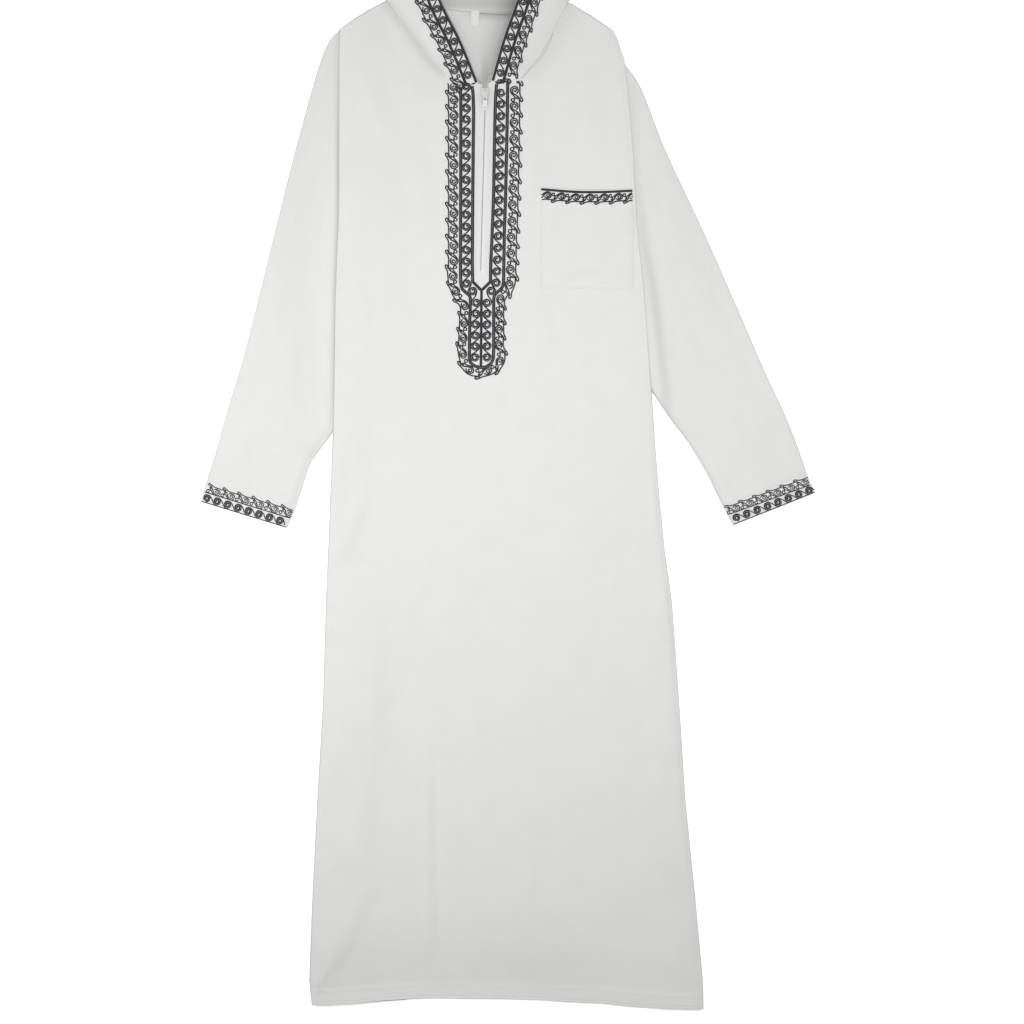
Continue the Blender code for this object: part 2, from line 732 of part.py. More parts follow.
def make_slider(material, parent):
    """The zip slider: a plate on the front, a wedge down through the slit, and a bridge for the pull."""
    low = UPPER_MID + WALL / 2 + SEAM_GAP
    high = low + SLIDER_WALL
    corners = (
        (SLIDER_X - SLIDER_HALF_BOTTOM, SLIDER_BOTTOM),
        (SLIDER_X + SLIDER_HALF_BOTTOM, SLIDER_BOTTOM),
        (SLIDER_X + SLIDER_HALF_TOP, SLIDER_TOP),
        (SLIDER_X - SLIDER_HALF_TOP, SLIDER_TOP),
    )
    slider = plate("zip_slider", rounded_corners(corners, SLIDER_CORNER), low, high, material, parent)
    wedge_outline = (
        (SLIDER_X - STEM_HALF_BOTTOM, STEM_BOTTOM),
        (SLIDER_X + STEM_HALF_BOTTOM, STEM_BOTTOM),
        (SLIDER_X + STEM_HALF_TOP, STEM_TOP),
        (SLIDER_X - STEM_HALF_TOP, STEM_TOP),
    )
    wedge = plate("slider_wedge", wedge_outline, WALL + SEAM_GAP, low + SLIDER_WALL / 2, material, parent)
    top = high + BRIDGE_RISE
    under = top - BRIDGE_BAR
    root = high - SLIDER_WALL / 2
    bridge_profile = (
        (SLIDER_BOTTOM, root),
        (SLIDER_BOTTOM, top - BRIDGE_CHAMFER),
        (SLIDER_BOTTOM + BRIDGE_CHAMFER, top),
        (BRIDGE_TOP_END - BRIDGE_SLOPE, top),
        (BRIDGE_TOP_END, root + BRIDGE_FOOT),
        (BRIDGE_TOP_END, root),
        (BRIDGE_TOP_END - BRIDGE_INNER_FOOT, root),
        (BRIDGE_TOP_END - BRIDGE_INNER_TOP, under),
        (SLIDER_BOTTOM + BRIDGE_LOW_LEG, under),
        (SLIDER_BOTTOM + BRIDGE_LOW_LEG, root),
    )
    bridge = profile_bar("slider_bridge", bridge_profile, BRIDGE_HALF, SLIDER_X, material, parent)
    join_to(slider, wedge)
    join_to(slider, bridge)
    return slider


def make_pull(material, parent):
    """The pull tab, in a frame on its hinge axis: it lies along -Y from a bar through the bridge."""
    half = PULL_WALL / 2
    left = [(-width, -reach) for reach, width in PULL_OUTLINE]
    right = [(width, -reach) for reach, width in PULL_OUTLINE]
    pull = plate("zip_pull", left + right[::-1], -half, half, material, parent)
    bar = cylinder("pull_bar", PULL_BAR_RADIUS, 2 * PULL_OUTLINE[0][1], "X", (0, 0), material, parent)
    eye_outline = (
        (-PULL_EYE_HALF, 2 * PULL_BAR_RADIUS),
        (PULL_EYE_HALF, 2 * PULL_BAR_RADIUS),
        (PULL_EYE_HALF, -PULL_EYE_LENGTH),
        (-PULL_EYE_HALF, -PULL_EYE_LENGTH),
    )
    eye = plate("pull_eye", eye_outline, -PULL_WALL, PULL_WALL, material, parent)
    reach, radius = PULL_TIP_HOLE
    hole = cylinder("pull_hole", radius, 2 * PULL_WALL, "Z", (0, -reach), material, parent)
    cut_from(pull, eye)
    cut_from(pull, hole)
    join_to(pull, bar)
    return pull


def cylinder(name, radius, length, axis, place, material, parent, sides=20):
    """A cylinder centred on a place in the plane, along X or Z."""
    shape = bmesh.new()
    bmesh.ops.create_cone(
        shape, cap_ends=True, segments=sides, radius1=radius, radius2=radius, depth=length
    )
    if axis == "X":
        turn = [(v.co.z, v.co.x, v.co.y) for v in shape.verts]
        for vert, point in zip(shape.verts, turn):
            vert.co = point
    bmesh.ops.translate(shape, vec=(*place, 0), verts=shape.verts)
    return add_object(name, shape, material, parent)


def add_empty(name, parent=None):
    empty = bpy.data.objects.new(name, None)
    empty.parent = parent
    bpy.context.scene.collection.objects.link(empty)
    return empty


def centre_over_origin(garment):
    """Moves the whole garment so that the origin is under the middle of its box."""
    bpy.context.view_layer.update()
    graph = bpy.context.evaluated_depsgraph_get()
    lowest, highest = np.full(3, np.inf), np.full(3, -np.inf)
    for piece in garment.children_recursive:
        if piece.type != "MESH" or piece.hide_render:
            continue
        solid = piece.evaluated_get(graph)
        corners = np.array([solid.matrix_world @ vert.co for vert in solid.data.vertices])
        lowest = np.minimum(lowest, corners.min(axis=0))
        highest = np.maximum(highest, corners.max(axis=0))
    middle = (lowest + highest) / 2
    garment.location = (-middle[0], -middle[1], -lowest[2])


def main():
    for old in list(bpy.data.objects):
        bpy.data.objects.remove(old)
    garment = add_empty("thobe")
    cloth = plain_material("white_cloth", (0.80, 0.80, 0.79), 0.85)
    inside = plain_material("white_cloth_inside", (0.72, 0.72, 0.71), 0.9)
    tape = plain_material("zip_tape", (0.82, 0.82, 0.81), 0.8)
    lacquer = plain_material("zip_lacquer", (0.78, 0.78, 0.77), 0.35)
    label = plain_material("label", (0.88, 0.88, 0.87), 0.7)

    make_back(inside, garment)
    make_front(cloth, garment)
    for side in ("left", "right"):
        sheet("sleeve_" + side, sleeve_rings(side), cloth, garment, ring=True)
        sheet("hood_" + side, hood_rows(side), cloth, garment)
        make_tape(side, tape, garment)
    make_pocket(cloth, garment)
    make_slider(lacquer, garment)
    tag_corners = (
        (TAG_LEFT, TAG_BOTTOM),
        (TAG_RIGHT, TAG_BOTTOM),
        (TAG_RIGHT, TAG_TOP),
        (TAG_LEFT, TAG_TOP),
    )
    tag_low = WALL + SEAM_GAP
    plate("neck_tag", tag_corners, tag_low, tag_low + TAPE_WALL, label, garment)

    hinge = add_empty("pull_hinge", garment)
    slider_face = UPPER_MID + WALL / 2 + SEAM_GAP + SLIDER_WALL
    hinge.location = (SLIDER_X * MM, PULL_AXIS_Y * MM, (slider_face + PULL_AXIS_RISE) * MM)
    hinge.rotation_euler = (math.radians(PULL_TILT), 0, 0)
    make_pull(lacquer, hinge)

    centre_over_origin(garment)


main()
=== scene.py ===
"""The looks of a hooded thobe laid flat: thin cloth on the frame's solids, braid, sewing, zip and label.

Sizes are millimetres in the garment's own frame, as it was cut: X across to the wearer's left, Y from the hem
up to the hood, Z up off the surface. They become metres in the shared frame when a mesh is made.
"""

import math
from functools import partial

import bmesh
import bpy
import numpy as np
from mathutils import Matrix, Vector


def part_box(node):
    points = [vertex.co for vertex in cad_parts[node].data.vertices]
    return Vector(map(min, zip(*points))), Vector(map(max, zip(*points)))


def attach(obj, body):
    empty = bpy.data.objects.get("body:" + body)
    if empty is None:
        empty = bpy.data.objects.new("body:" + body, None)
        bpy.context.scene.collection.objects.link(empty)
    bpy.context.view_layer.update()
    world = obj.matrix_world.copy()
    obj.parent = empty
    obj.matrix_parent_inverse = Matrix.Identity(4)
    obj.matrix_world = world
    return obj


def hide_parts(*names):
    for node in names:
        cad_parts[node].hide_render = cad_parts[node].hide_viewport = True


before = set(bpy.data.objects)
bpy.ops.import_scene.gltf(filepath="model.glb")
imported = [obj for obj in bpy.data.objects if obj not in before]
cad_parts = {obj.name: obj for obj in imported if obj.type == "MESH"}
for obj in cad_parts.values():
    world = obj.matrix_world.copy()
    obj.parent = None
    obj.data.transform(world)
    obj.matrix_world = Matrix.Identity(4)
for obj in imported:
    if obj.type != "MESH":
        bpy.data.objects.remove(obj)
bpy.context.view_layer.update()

MM = 0.001
SIDES = ("left", "right")
SIGN = {"left": -1, "right": 1}
COLUMN = {"left": 1, "right": 2}

# The neck label's lowest corner in the garment's frame, which gives the shift to the shared frame
LABEL_CORNER = (-41.0, 1373.0, 1.5)
SHIFT = np.array(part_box("neck_tag")[0]) / MM - LABEL_CORNER

# Cloth: the wall of the frame's solids, and the thinner cloth shown on them
SOLID_WALL = 1.2
CLOTH = 0.8
SEAM_GAP = 0.3
BACK_MID = SOLID_WALL / 2
FRONT_MID = BACK_MID + SOLID_WALL + SEAM_GAP
LAYER_RISE = 2.8
UPPER_MID = BACK_MID + LAYER_RISE
OVER_SLEEVE_MID = UPPER_MID + SOLID_WALL + SEAM_GAP
FOLD_RADIUS = LAYER_RISE / 2

# The rolled side edge of the front
ROLL_RADIUS = 1.5
ROLL_INSET = ROLL_RADIUS + SOLID_WALL / 2

# The body's outline, from hem to shoulder: height, left edge, right edge
SIDE_EDGES = (
    (-4, -263, 285),
    (36, -267, 284),
    (148, -263, 274),
    (288, -256, 260),
    (428, -248, 251),
    (568, -244, 241),
    (638, -241, 231),
    (708, -238, 224),
    (804, -234, 216),
    (853, -233, 212.5),
    (994, -231, 202.5),
    (1052, -229, 196.5),
    (1091, -227, 192),
    (1145, -226, 189),
    (1184, -226, 187.5),
    (1268, -226, 180.5),
    (1324, -226, 174),
    (1352, -225.5, 165),
    (1366, -225, 157),
)

# The front hem's edge, left to right: across, height
FRONT_HEM = (
    (-263, 2),
    (-211, 4.5),
    (-127, 10),
    (-98, 11),
    (0, 10),
    (56, 8.5),
    (98, 5.5),
    (144, 3.5),
    (185, -1),
    (237, -4),
    (285, -3.5),
)
HEM_TURN = 20
HEM_PEEK = (-215, -125)
HEM_PEEK_DROP = 1.6

# The zip line from hem to neck: height, across; half the slit's width: height, half width
CENTRE_LINE = ((0, 9), (300, -4), (600, -17), (895, -27), (1028, -27), (1252, -21), (1400, -20.5))
ZIP_BOTTOM = 1028
TAPE_BELOW = 12
SLIT_HALF = ((1028, 0.5), (1262, 0.5), (1284, 3.5), (1310, 3.5))
SLIT_TOP = 1290.5

# Necklines and shoulders, from the zip or the centre back outward: across, height
NECK_FRONT = {
    "left": ((-30, 1291.5), (-69, 1295), (-94.5, 1320), (-129, 1366), (-161, 1407)),
    "right": ((-12.6, 1295), (27, 1297), (57, 1331), (73, 1358), (97, 1405)),
}
NECK_BACK = {
    "left": ((-28, 1390), (-66, 1394.5), (-112, 1400), (-161, 1407)),
    "right": ((-28, 1390), (8, 1387.5), (50, 1394), (97, 1405)),
}
SHOULDER = {
    "left": ((-161, 1407), (-195, 1387), (-225, 1366.5)),
    "right": ((97, 1405), (126, 1387), (157, 1366)),
}

# Sleeve outlines, from the armhole to the cuff: outer edge across, height, underarm edge across, height
SLEEVE = {
    "left": (
        (-208, 1370, -186, 965),
        (-230, 1362, -189, 938),
        (-251, 1324, -197, 905),
        (-287, 1198, -210, 866),
        (-322, 1058, -222, 834),
        (-357, 918, -234, 804),
        (-380, 841, -251, 780),
        (-400, 771, -267, 755),
        (-411, 735, -283, 705),
        (-419, 706, -298, 669),
    ),
    "right": (
        (152, 1352, 163, 985),
        (176, 1318, 169, 950),
        (199, 1282, 180, 915),
        (232, 1198, 196, 887),
        (279, 1098, 212, 861),
        (328, 988, 227, 838),
        (369, 893, 243, 815),
        (400, 826, 265, 786),
        (421, 772, 290, 744),
        (431, 742, 305, 713),
        (442, 719, 326, 673),
    ),
}
SLEEVE_LOFT = 1.8
SLEEVE_EDGE_INSET = FOLD_RADIUS + SOLID_WALL / 2

# The hood's halves, from neck to crown: opening edge, outer fold, centre back seam, each across and height
HOOD = {
    "left": (
        (-30, 1291.5, -161, 1407, -28, 1390),
        (-54.3, 1350, -172, 1443, -28, 1420),
        (-82.7, 1408, -179, 1487, -28, 1455),
        (-98.3, 1464, -180, 1536, -28, 1490),
        (-102, 1520, -174, 1591, -28, 1525),
        (-92.5, 1574, -155, 1645, -28, 1560),
        (-68.5, 1617, -117, 1695, -28, 1597),
        (-28, 1640, -28, 1735, -28, 1640),
    ),
    "right": (
        (-12.6, 1295, 97, 1405, -28, 1390),
        (3.8, 1351, 112, 1443, -28, 1420),
        (23.8, 1408, 122, 1487, -28, 1455),
        (40.2, 1464, 124, 1536, -28, 1490),
        (46, 1520, 118, 1591, -28, 1525),
        (38, 1574, 99, 1645, -28, 1560),
        (15, 1617, 61, 1695, -28, 1597),
        (-28, 1640, -28, 1735, -28, 1640),
    ),
}
CROWN_GAP = 0.25

# The pocket on the front
POCKET_LEFT, POCKET_RIGHT = 57, 186.3
POCKET_BOTTOM = 1004
POCKET_MOUTH = (1146.5, 1144)
POCKET_SAG = 3.5

# Folds that the solids carry: start across and height, end across and height, half width, rise
FOLD_FADE = 0.25
FOLDS = (
    (-262, 0, -196, 150, 20, 2.6),
    (276, 0, 226, 150, 18, 2.6),
    (-212, 800, -196, 715, 14, 1.2),
    (-196, 715, -236, 610, 14, 1.0),
    (-95, 390, -95, 20, 22, 0.8),
    (35, 200, 35, 15, 20, 0.8),
)

# Softer creases of the front: the line's corners, half width on its left and on its right, and its rise
FRONT_CREASES = (
    (((-238, 606), (-176, 622)), 26, 9, -2.0),
    (((-178, 620), (-180, 400), (-198, 250), (-222, 110)), 52, 17, 3.3),
    (((-206, 806), (-192, 720), (-218, 652), (-238, 612)), 8, 12, 2.0),
    (((-101, 392), (-100, 200), (-97, 26)), 12, 6, 1.5),
    (((-92, 400), (-90, 210), (-88, 24)), 5, 9, -1.8),
    (((42, 230), (38, 120), (36, 24)), 12, 7, 1.3),
    (((34, 210), (29, 110), (30, 26)), 6, 10, -1.3),
    (((-158, 200), (-203, 140), (-231, 64), (-258, 10)), 26, 9, 1.0),
    (((-150, 180), (-190, 108), (-226, 34)), 9, 7, -1.0),
    (((203, 224), (236, 118), (268, 16)), 14, 10, 0.7),
    (((186, 200), (214, 110), (240, 30)), 16, 12, -0.9),
    (((241, 506), (222, 540), (210, 588)), 9, 20, 2.6),
    (((160, 640), (158, 560)), 8, 8, 1.3),
    (((206, 446), (200, 380), (196, 300)), 12, 14, -1.3),
    (((76, 880), (80, 830), (74, 780)), 8, 8, -1.1),
    (((-198, 1330), (-196, 1250), (-190, 1150)), 9, 14, -1.5),
    (((-168, 1376), (-176, 1300), (-170, 1210)), 16, 12, 1.8),
    (((-138, 1290), (-142, 1190), (-134, 1100)), 14, 16, -1.1),
    (((-98, 1290), (-98, 1200), (-100, 1090)), 12, 14, -1.3),
    (((-205, 1060), (-196, 960), (-200, 880)), 12, 16, 1.3),
    (((-150, 1010), (-160, 900), (-168, 800)), 22, 18, 1.1),
    (((72, 1252), (76, 1210), (70, 1166)), 10, 12, -1.8),
    (((100, 1330), (118, 1270), (120, 1180)), 14, 14, 1.5),
    (((150, 1300), (152, 1250), (146, 1200)), 8, 9, -1.1),
    (((74, 985), (78, 940), (76, 905)), 10, 10, -1.3),
    (((118, 960), (126, 880), (122, 800)), 20, 22, 1.3),
    (((18, 905), (8, 850), (12, 800)), 10, 12, -1.1),
    (((176, 980), (186, 900), (200, 820)), 14, 10, 1.3),
    (((-60, 720), (-66, 560), (-52, 420)), 30, 26, 1.1),
    (((96, 700), (110, 560), (104, 430)), 26, 30, 1.1),
    (((-150, 560), (-140, 470), (-146, 380)), 20, 26, -1.1),
    (((10, 420), (0, 330), (6, 260)), 26, 20, -0.9),
    (((66, 1300), (70, 1220), (66, 1140)), 20, 24, -1.5),
    (((138, 1330), (146, 1250), (142, 1170)), 26, 22, 1.3),
)

SLEEVE_CREASES = {
    "left": (
        (((-286, 968), (-296, 880), (-300, 800)), 16, 12, 2.0),
        (((-330, 960), (-346, 860), (-340, 760)), 14, 22, -1.4),
        (((-262, 1230), (-276, 1120), (-300, 1010)), 12, 16, 1.6),
        (((-240, 1180), (-244, 1060), (-250, 960)), 8, 10, -1.2),
        (((-318, 860), (-352, 800), (-372, 730)), 12, 10, 1.2),
        (((-262, 800), (-290, 770), (-330, 760)), 8, 12, -1.2),
        (((-380, 800), (-392, 760), (-398, 716)), 10, 8, 1.0),
    ),
    "right": (
        (((330, 940), (372, 850), (400, 770)), 16, 22, -1.6),
        (((262, 1060), (300, 960), (330, 880)), 18, 14, 1.8),
        (((216, 1190), (236, 1110), (262, 1040)), 10, 14, 1.4),
        (((226, 1010), (238, 930), (262, 850)), 10, 12, -1.4),
        (((300, 850), (340, 790), (366, 720)), 16, 12, 1.6),
        (((262, 836), (292, 790), (340, 778)), 10, 8, -1.2),
        (((404, 800), (420, 766), (426, 736)), 8, 8, 1.0),
    ),
}

HOOD_CREASES = {
    "left": (
        (((-78, 1318), (-112, 1372), (-140, 1430), (-146, 1500)), 10, 14, 1.4),
        (((-104, 1340), (-136, 1386), (-160, 1420)), 6, 8, -1.2),
        (((-124, 1480), (-140, 1560), (-120, 1630)), 14, 12, 1.2),
        (((-108, 1600), (-84, 1650), (-46, 1690)), 12, 12, -1.0),
    ),
    "right": (
        (((36, 1318), (66, 1376), (88, 1430), (92, 1500)), 16, 12, 1.4),
        (((54, 1340), (78, 1376), (96, 1420)), 12, 14, -0.9),
        (((70, 1480), (84, 1556), (66, 1626)), 12, 14, 1.2),
        (((52, 1600), (28, 1652), (-8, 1690)), 12, 12, -1.0),
    ),
}


def smoothstep(low, high, value):
    t = np.clip((value - low) / (high - low), 0, 1)
    return t * t * (3 - 2 * t)


def bell(offset, width):
    return np.exp(-((offset / width) ** 2))


def along(table, column, value):
    """Reads a table at a value of its first column."""
    rows = np.array(table, float)
    return np.interp(value, rows[:, 0], rows[:, column])


def smooth_rows(table, count):
    """More rows on smooth curves through a table's rows (Catmull-Rom)."""
    rows = np.array(table, float)
    padded = np.vstack([2 * rows[0] - rows[1], rows, 2 * rows[-1] - rows[-2]])
    station = np.linspace(0, len(rows) - 1, count)
    i = np.minimum(station.astype(int), len(rows) - 2)
    t = (station - i)[:, None]
    a, b, c, d = padded[i], padded[i + 1], padded[i + 2], padded[i + 3]
    curve = 2 * b + (c - a) * t + (2 * a - 5 * b + 4 * c - d) * t**2
    return (curve + (3 * b - a - 3 * c + d) * t**3) / 2


def line_lengths(points):
    steps = np.linalg.norm(np.diff(points, axis=0), axis=1)
    return np.concatenate([[0], np.cumsum(steps)])


def resample(points, spacing):
    """The same line with evenly spaced points."""
    points = np.array(points, float)
    lengths = line_lengths(points)
    places = np.linspace(0, lengths[-1], max(2, round(lengths[-1] / spacing) + 1))
    return np.stack([np.interp(places, lengths, points[:, k]) for k in range(points.shape[1])], axis=1)


def outward_normals(points, away_from):
    """Unit normals of an outline in the plane, on the side that faces away from a second outline."""
    tangents = np.gradient(points, axis=0)
    normals = np.stack([tangents[:, 1], -tangents[:, 0]], axis=1)
    normals /= np.linalg.norm(normals, axis=1)[:, None]
    facing = np.sign(np.sum(normals * (points - away_from), axis=1))
    return normals * facing[:, None]


def beside_line(x, y, corners):
    """Distance to a line of straight parts, the nearest place's share of its length, and the side of it."""
    corners = np.array(corners, float)
    lengths = line_lengths(corners)
    best = np.full(np.shape(x), np.inf)
    share = np.zeros(np.shape(x))
    side = np.ones(np.shape(x))
    for i, (start, end) in enumerate(zip(corners, corners[1:])):
        run = end - start
        t = np.clip(((x - start[0]) * run[0] + (y - start[1]) * run[1]) / (run @ run), 0, 1)
        dx, dy = x - start[0] - t * run[0], y - start[1] - t * run[1]
        distance = np.hypot(dx, dy)
        nearer = distance < best
        best = np.where(nearer, distance, best)
        share = np.where(nearer, (lengths[i] + t * (lengths[i + 1] - lengths[i])) / lengths[-1], share)
        side = np.where(nearer, np.sign(run[0] * dy - run[1] * dx), side)
    return best, share, side


def crease_rise(x, y, creases):
    """Soft ridges and troughs: each falls away on its two sides by its own widths and fades at its ends."""
    rise = np.zeros(np.shape(x))
    for corners, left_width, right_width, height in creases:
        distance, share, side = beside_line(x, y, corners)
        downward = corners[-1][1] < corners[0][1]
        on_left = (side < 0) if downward else (side > 0)
        width = np.where(on_left, left_width, right_width)
        fade = smoothstep(0, 0.3, share) * smoothstep(0, 0.3, 1 - share)
        uneven = 1 + 0.25 * np.sin(9 * share + corners[0][0])
        rise += height * fade * uneven * bell(distance, width)
    return rise


def no_lower(level, lowest, blend=0.6):
    """The level where it is clear of the lowest one, passing softly into that."""
    gap = level - lowest
    return lowest + (gap + np.sqrt(gap**2 + blend**2)) / 2


def ripples(x, y):
    """The slight unevenness of cloth that lies by its own weight."""
    wave = 0.30 * np.sin(x / 31 + 1.7 * np.sin(y / 173))
    wave += 0.26 * np.sin(x / 17 + y / 91 + 0.8)
    wave += 0.34 * np.sin(y / 83 + 1.3 * np.sin(x / 67))
    wave += 0.14 * np.sin(x / 9.5 - y / 47 + 2.1 * np.sin(y / 210))
    return wave


def zip_line(y):
    return along(CENTRE_LINE, 1, y)


def slit_half(y):
    return along(SLIT_HALF, 1, y)


def side_edge(side, y):
    return along(SIDE_EDGES, COLUMN[side], y)


def hem_height(x):
    return along(FRONT_HEM, 1, x)


def neck_seam_height(x, y):
    left, right = (along(sorted(NECK_FRONT[side]), 1, x) for side in SIDES)
    return np.where(x < zip_line(y), left, right)


def sleeve_lines(side, count=0):
    """The sleeve's outer and underarm edges: their own corners, or more points on curves through them."""
    table = smooth_rows(SLEEVE[side], count) if count else np.array(SLEEVE[side], float)
    return table[:, :2], table[:, 2:]


def sleeve_edge(side, height):
    """How far across the sleeve's hidden edge runs at a height, where it goes under the body."""
    outer, under = sleeve_lines(side)
    edge = np.vstack([outer[:1], under])[:, ::-1]
    return along(sorted(edge.tolist()), 1, height)


# Where the front is fully lifted and where it is down again: inside a sleeve's edge, beside the zip, below
# the zip's tapes and below the neckline
SLEEVE_LIFT, PLACKET_LIFT, PLACKET_END_LIFT, NECK_LIFT = (15, 72), (19, 52), (6, 60), (8, 70)


def lift_over_sleeve(x, y):
    """1 where the front lies over a sleeve, 0 where it is down on the back."""
    inside = np.minimum(x - sleeve_edge("left", y), sleeve_edge("right", y) - x)
    return 1 - smoothstep(*SLEEVE_LIFT, inside)


def lift_at_placket(x, y):
    """1 over the zip tapes, fading to 0 beside and below them."""
    beside, below = abs(x - zip_line(y)), ZIP_BOTTOM - TAPE_BELOW - y
    return (1 - smoothstep(*PLACKET_LIFT, beside)) * (1 - smoothstep(*PLACKET_END_LIFT, below))


def lift_at_neck(x, y):
    """1 along the front neckline, where the front meets the hood's upper layer, fading to 0 below it."""
    return 1 - smoothstep(*NECK_LIFT, neck_seam_height(x, y) - y)


def fold_rise(x, y):
    """How much the folds left in the front raise it."""
    rise = np.zeros(np.shape(x))
    for x0, y0, x1, y1, half_width, height in FOLDS:
        distance, share, _ = beside_line(x, y, ((x0, y0), (x1, y1)))
        rise += height * smoothstep(0, FOLD_FADE, 1 - share) * (1 - share / 2) * bell(distance, half_width)
    return rise


def hem_lift(x, y):
    """The front hem stands a little off the back hem where the back hem shows."""
    start, end = HEM_PEEK
    return 1.8 * bell(x - (start + end) / 2, (end - start) / 2) * np.exp(-np.maximum(y, 0) / 30)


def from_shoulders(x, y):
    """From 0 at the shoulder seams, where the front lies down on the back, to 1 below them."""
    left, right = (smoothstep(0, 24, beside_line(x, y, SHOULDER[side])[0]) for side in SIDES)
    return left * right


def hem_form(x, y):
    """The turned hem's second layer, its stitched groove near the edge and the step at its upper edge."""
    up = y - hem_height(x)
    band = 0.7 * (1 - smoothstep(HEM_TURN - 5, HEM_TURN + 5, up))
    return band - 0.3 * bell(up - 3.6, 1.1) - 0.35 * bell(up - HEM_TURN - 5, 5)


def slit_form(x, y):
    """The turned-back edges beside the slit: they round down into it, with a stitched groove outside them."""
    beside = abs(x - zip_line(y)) - slit_half(y)
    form = 0.4 * bell(beside - 4.2, 2.2) - 0.75 * bell(beside, 1.5) - 0.3 * bell(beside - 9.6, 1.2)
    return form * smoothstep(ZIP_BOTTOM - 14, ZIP_BOTTOM + 4, y)


def neck_seam_dip(x, y):
    """The valley at the seam of the front and the hood: sharp on the left, soft and wide on the right."""
    dip = np.zeros(np.shape(x))
    for side, widths in (("left", ((3.6, 0.35), (10, 1.0))), ("right", ((4.0, 0.1), (17, 1.5)))):
        distance = beside_line(x, y, NECK_FRONT[side][1:])[0]
        for width, depth in widths:
            dip -= depth * bell(distance, width)
    return dip


# How far the cloth swells beside each side edge, where that is full and where it ends, all below the waist
# and above it
SIDE_ROLL = {"left": ((3.6, 52, 105), (2.0, 24, 62)), "right": ((1.4, 34, 80), (0.6, 12, 46))}


def front_level(x, y):
    """Height of the middle of the front's cloth."""
    x, y = np.asarray(x, float), np.asarray(y, float)
    over_sleeve = (OVER_SLEEVE_MID - FRONT_MID) * lift_over_sleeve(x, y)
    at_neck = lift_at_neck(x, y)
    at_zip = np.maximum(lift_at_placket(x, y), at_neck)
    loose = from_shoulders(x, y)
    up_from_hem = smoothstep(HEM_TURN, 90, y - hem_height(x))
    lifted = np.maximum(over_sleeve, (UPPER_MID - FRONT_MID) * at_zip)
    level = FRONT_MID + lifted + fold_rise(x, y) + hem_lift(x, y)
    level += (1 - at_zip) * up_from_hem * (2.0 + ripples(x, y)) * loose
    level += crease_rise(x, y, FRONT_CREASES) * np.maximum(1 - at_zip, 0.35 * (1 - at_neck)) * loose
    level += hem_form(x, y) + slit_form(x, y) + neck_seam_dip(x, y)
    level = no_lower(level, FRONT_MID - 0.15 + over_sleeve)
    edge = (UPPER_MID + SOLID_WALL / 2 + SEAM_GAP) * lift_over_sleeve(x, y) + ROLL_INSET
    low = 1 - smoothstep(200, 760, y)
    for side in SIDES:
        puff, full, gone = (up + low * (down - up) for down, up in zip(*SIDE_ROLL[side]))
        inside = SIGN[side] * (side_edge(side, y) - x) - ROLL_INSET
        uneven = 1 + 0.25 * np.sin(y / 71 + COLUMN[side]) + 0.15 * np.sin(y / 29)
        raised = np.maximum(level, edge) + puff * uneven * smoothstep(0, 0.5 * full, inside)
        level = level + (1 - smoothstep(full, gone, inside)) * (raised - level)
        level = level + (1 - smoothstep(0, 6, inside)) * (edge - level)
    return level


def sleeve_level(side, x, y):
    """Height of the middle of the sleeve's upper layer."""
    to_outer, to_under = (beside_line(x, y, line)[0] for line in sleeve_lines(side))
    share = to_outer / np.maximum(to_outer + to_under, 1e-6)
    free = smoothstep(12, 70, SIGN[side] * (x - side_edge(side, y)))
    from_edge = smoothstep(SLEEVE_EDGE_INSET, 14, np.minimum(to_outer, to_under))
    loft = SLEEVE_LOFT * np.sin(math.pi * share) * free
    fine = (0.7 * ripples(x, y) + 0.9 + crease_rise(x, y, SLEEVE_CREASES[side])) * free * from_edge
    return UPPER_MID + loft + no_lower(fine, -0.4 - 0.5 * loft, 0.4)


HOOD_PUFF = {"left": 3.0, "right": 6.5}


def hood_opening(side, count):
    """Points along the hood's opening edge, from neck to crown."""
    return smooth_rows(HOOD[side], count)[:, :2]


def hood_level(side, x, y):
    """Height of the middle of the hood's upper layer."""
    x, y = np.asarray(x, float), np.asarray(y, float)
    rows = smooth_rows(HOOD[side], 24)
    from_opening, from_fold = (beside_line(x, y, line)[0] for line in (rows[:, :2], rows[:, 2:4]))
    free = smoothstep(4, 30, from_fold)
    from_seam = smoothstep(3, 55, beside_line(x, y, NECK_FRONT[side])[0])
    gathered = from_seam * (1 - smoothstep(1560, 1640, y))
    loft = 1.2 * free * from_seam + HOOD_PUFF[side] * gathered * (1 - smoothstep(20, 62, from_opening))
    fine = (crease_rise(x, y, HOOD_CREASES[side]) + 0.4 * ripples(x, y)) * free * from_seam
    edge_turn = 0.4 * (1 - smoothstep(34, 38, from_opening)) - 0.9 * (1 - smoothstep(0, 1.8, from_opening))
    return UPPER_MID + loft + no_lower(fine, -0.6 - loft, 0.3) + edge_turn + neck_seam_dip(x, y)


def pocket_mouth(share):
    left, right = POCKET_MOUTH
    return left + share * (right - left) - POCKET_SAG * np.sin(math.pi * share)


POCKET_CREASES = (
    (((70, 1006), (100, 1020), (156, 1026)), 7, 10, -1.4),
    (((78, 1030), (110, 1044), (160, 1046)), 12, 12, 1.3),
    (((72, 1084), (120, 1092), (160, 1086)), 9, 9, -0.8),
    (((118, 1120), (124, 1080), (120, 1050)), 18, 16, 0.8),
)


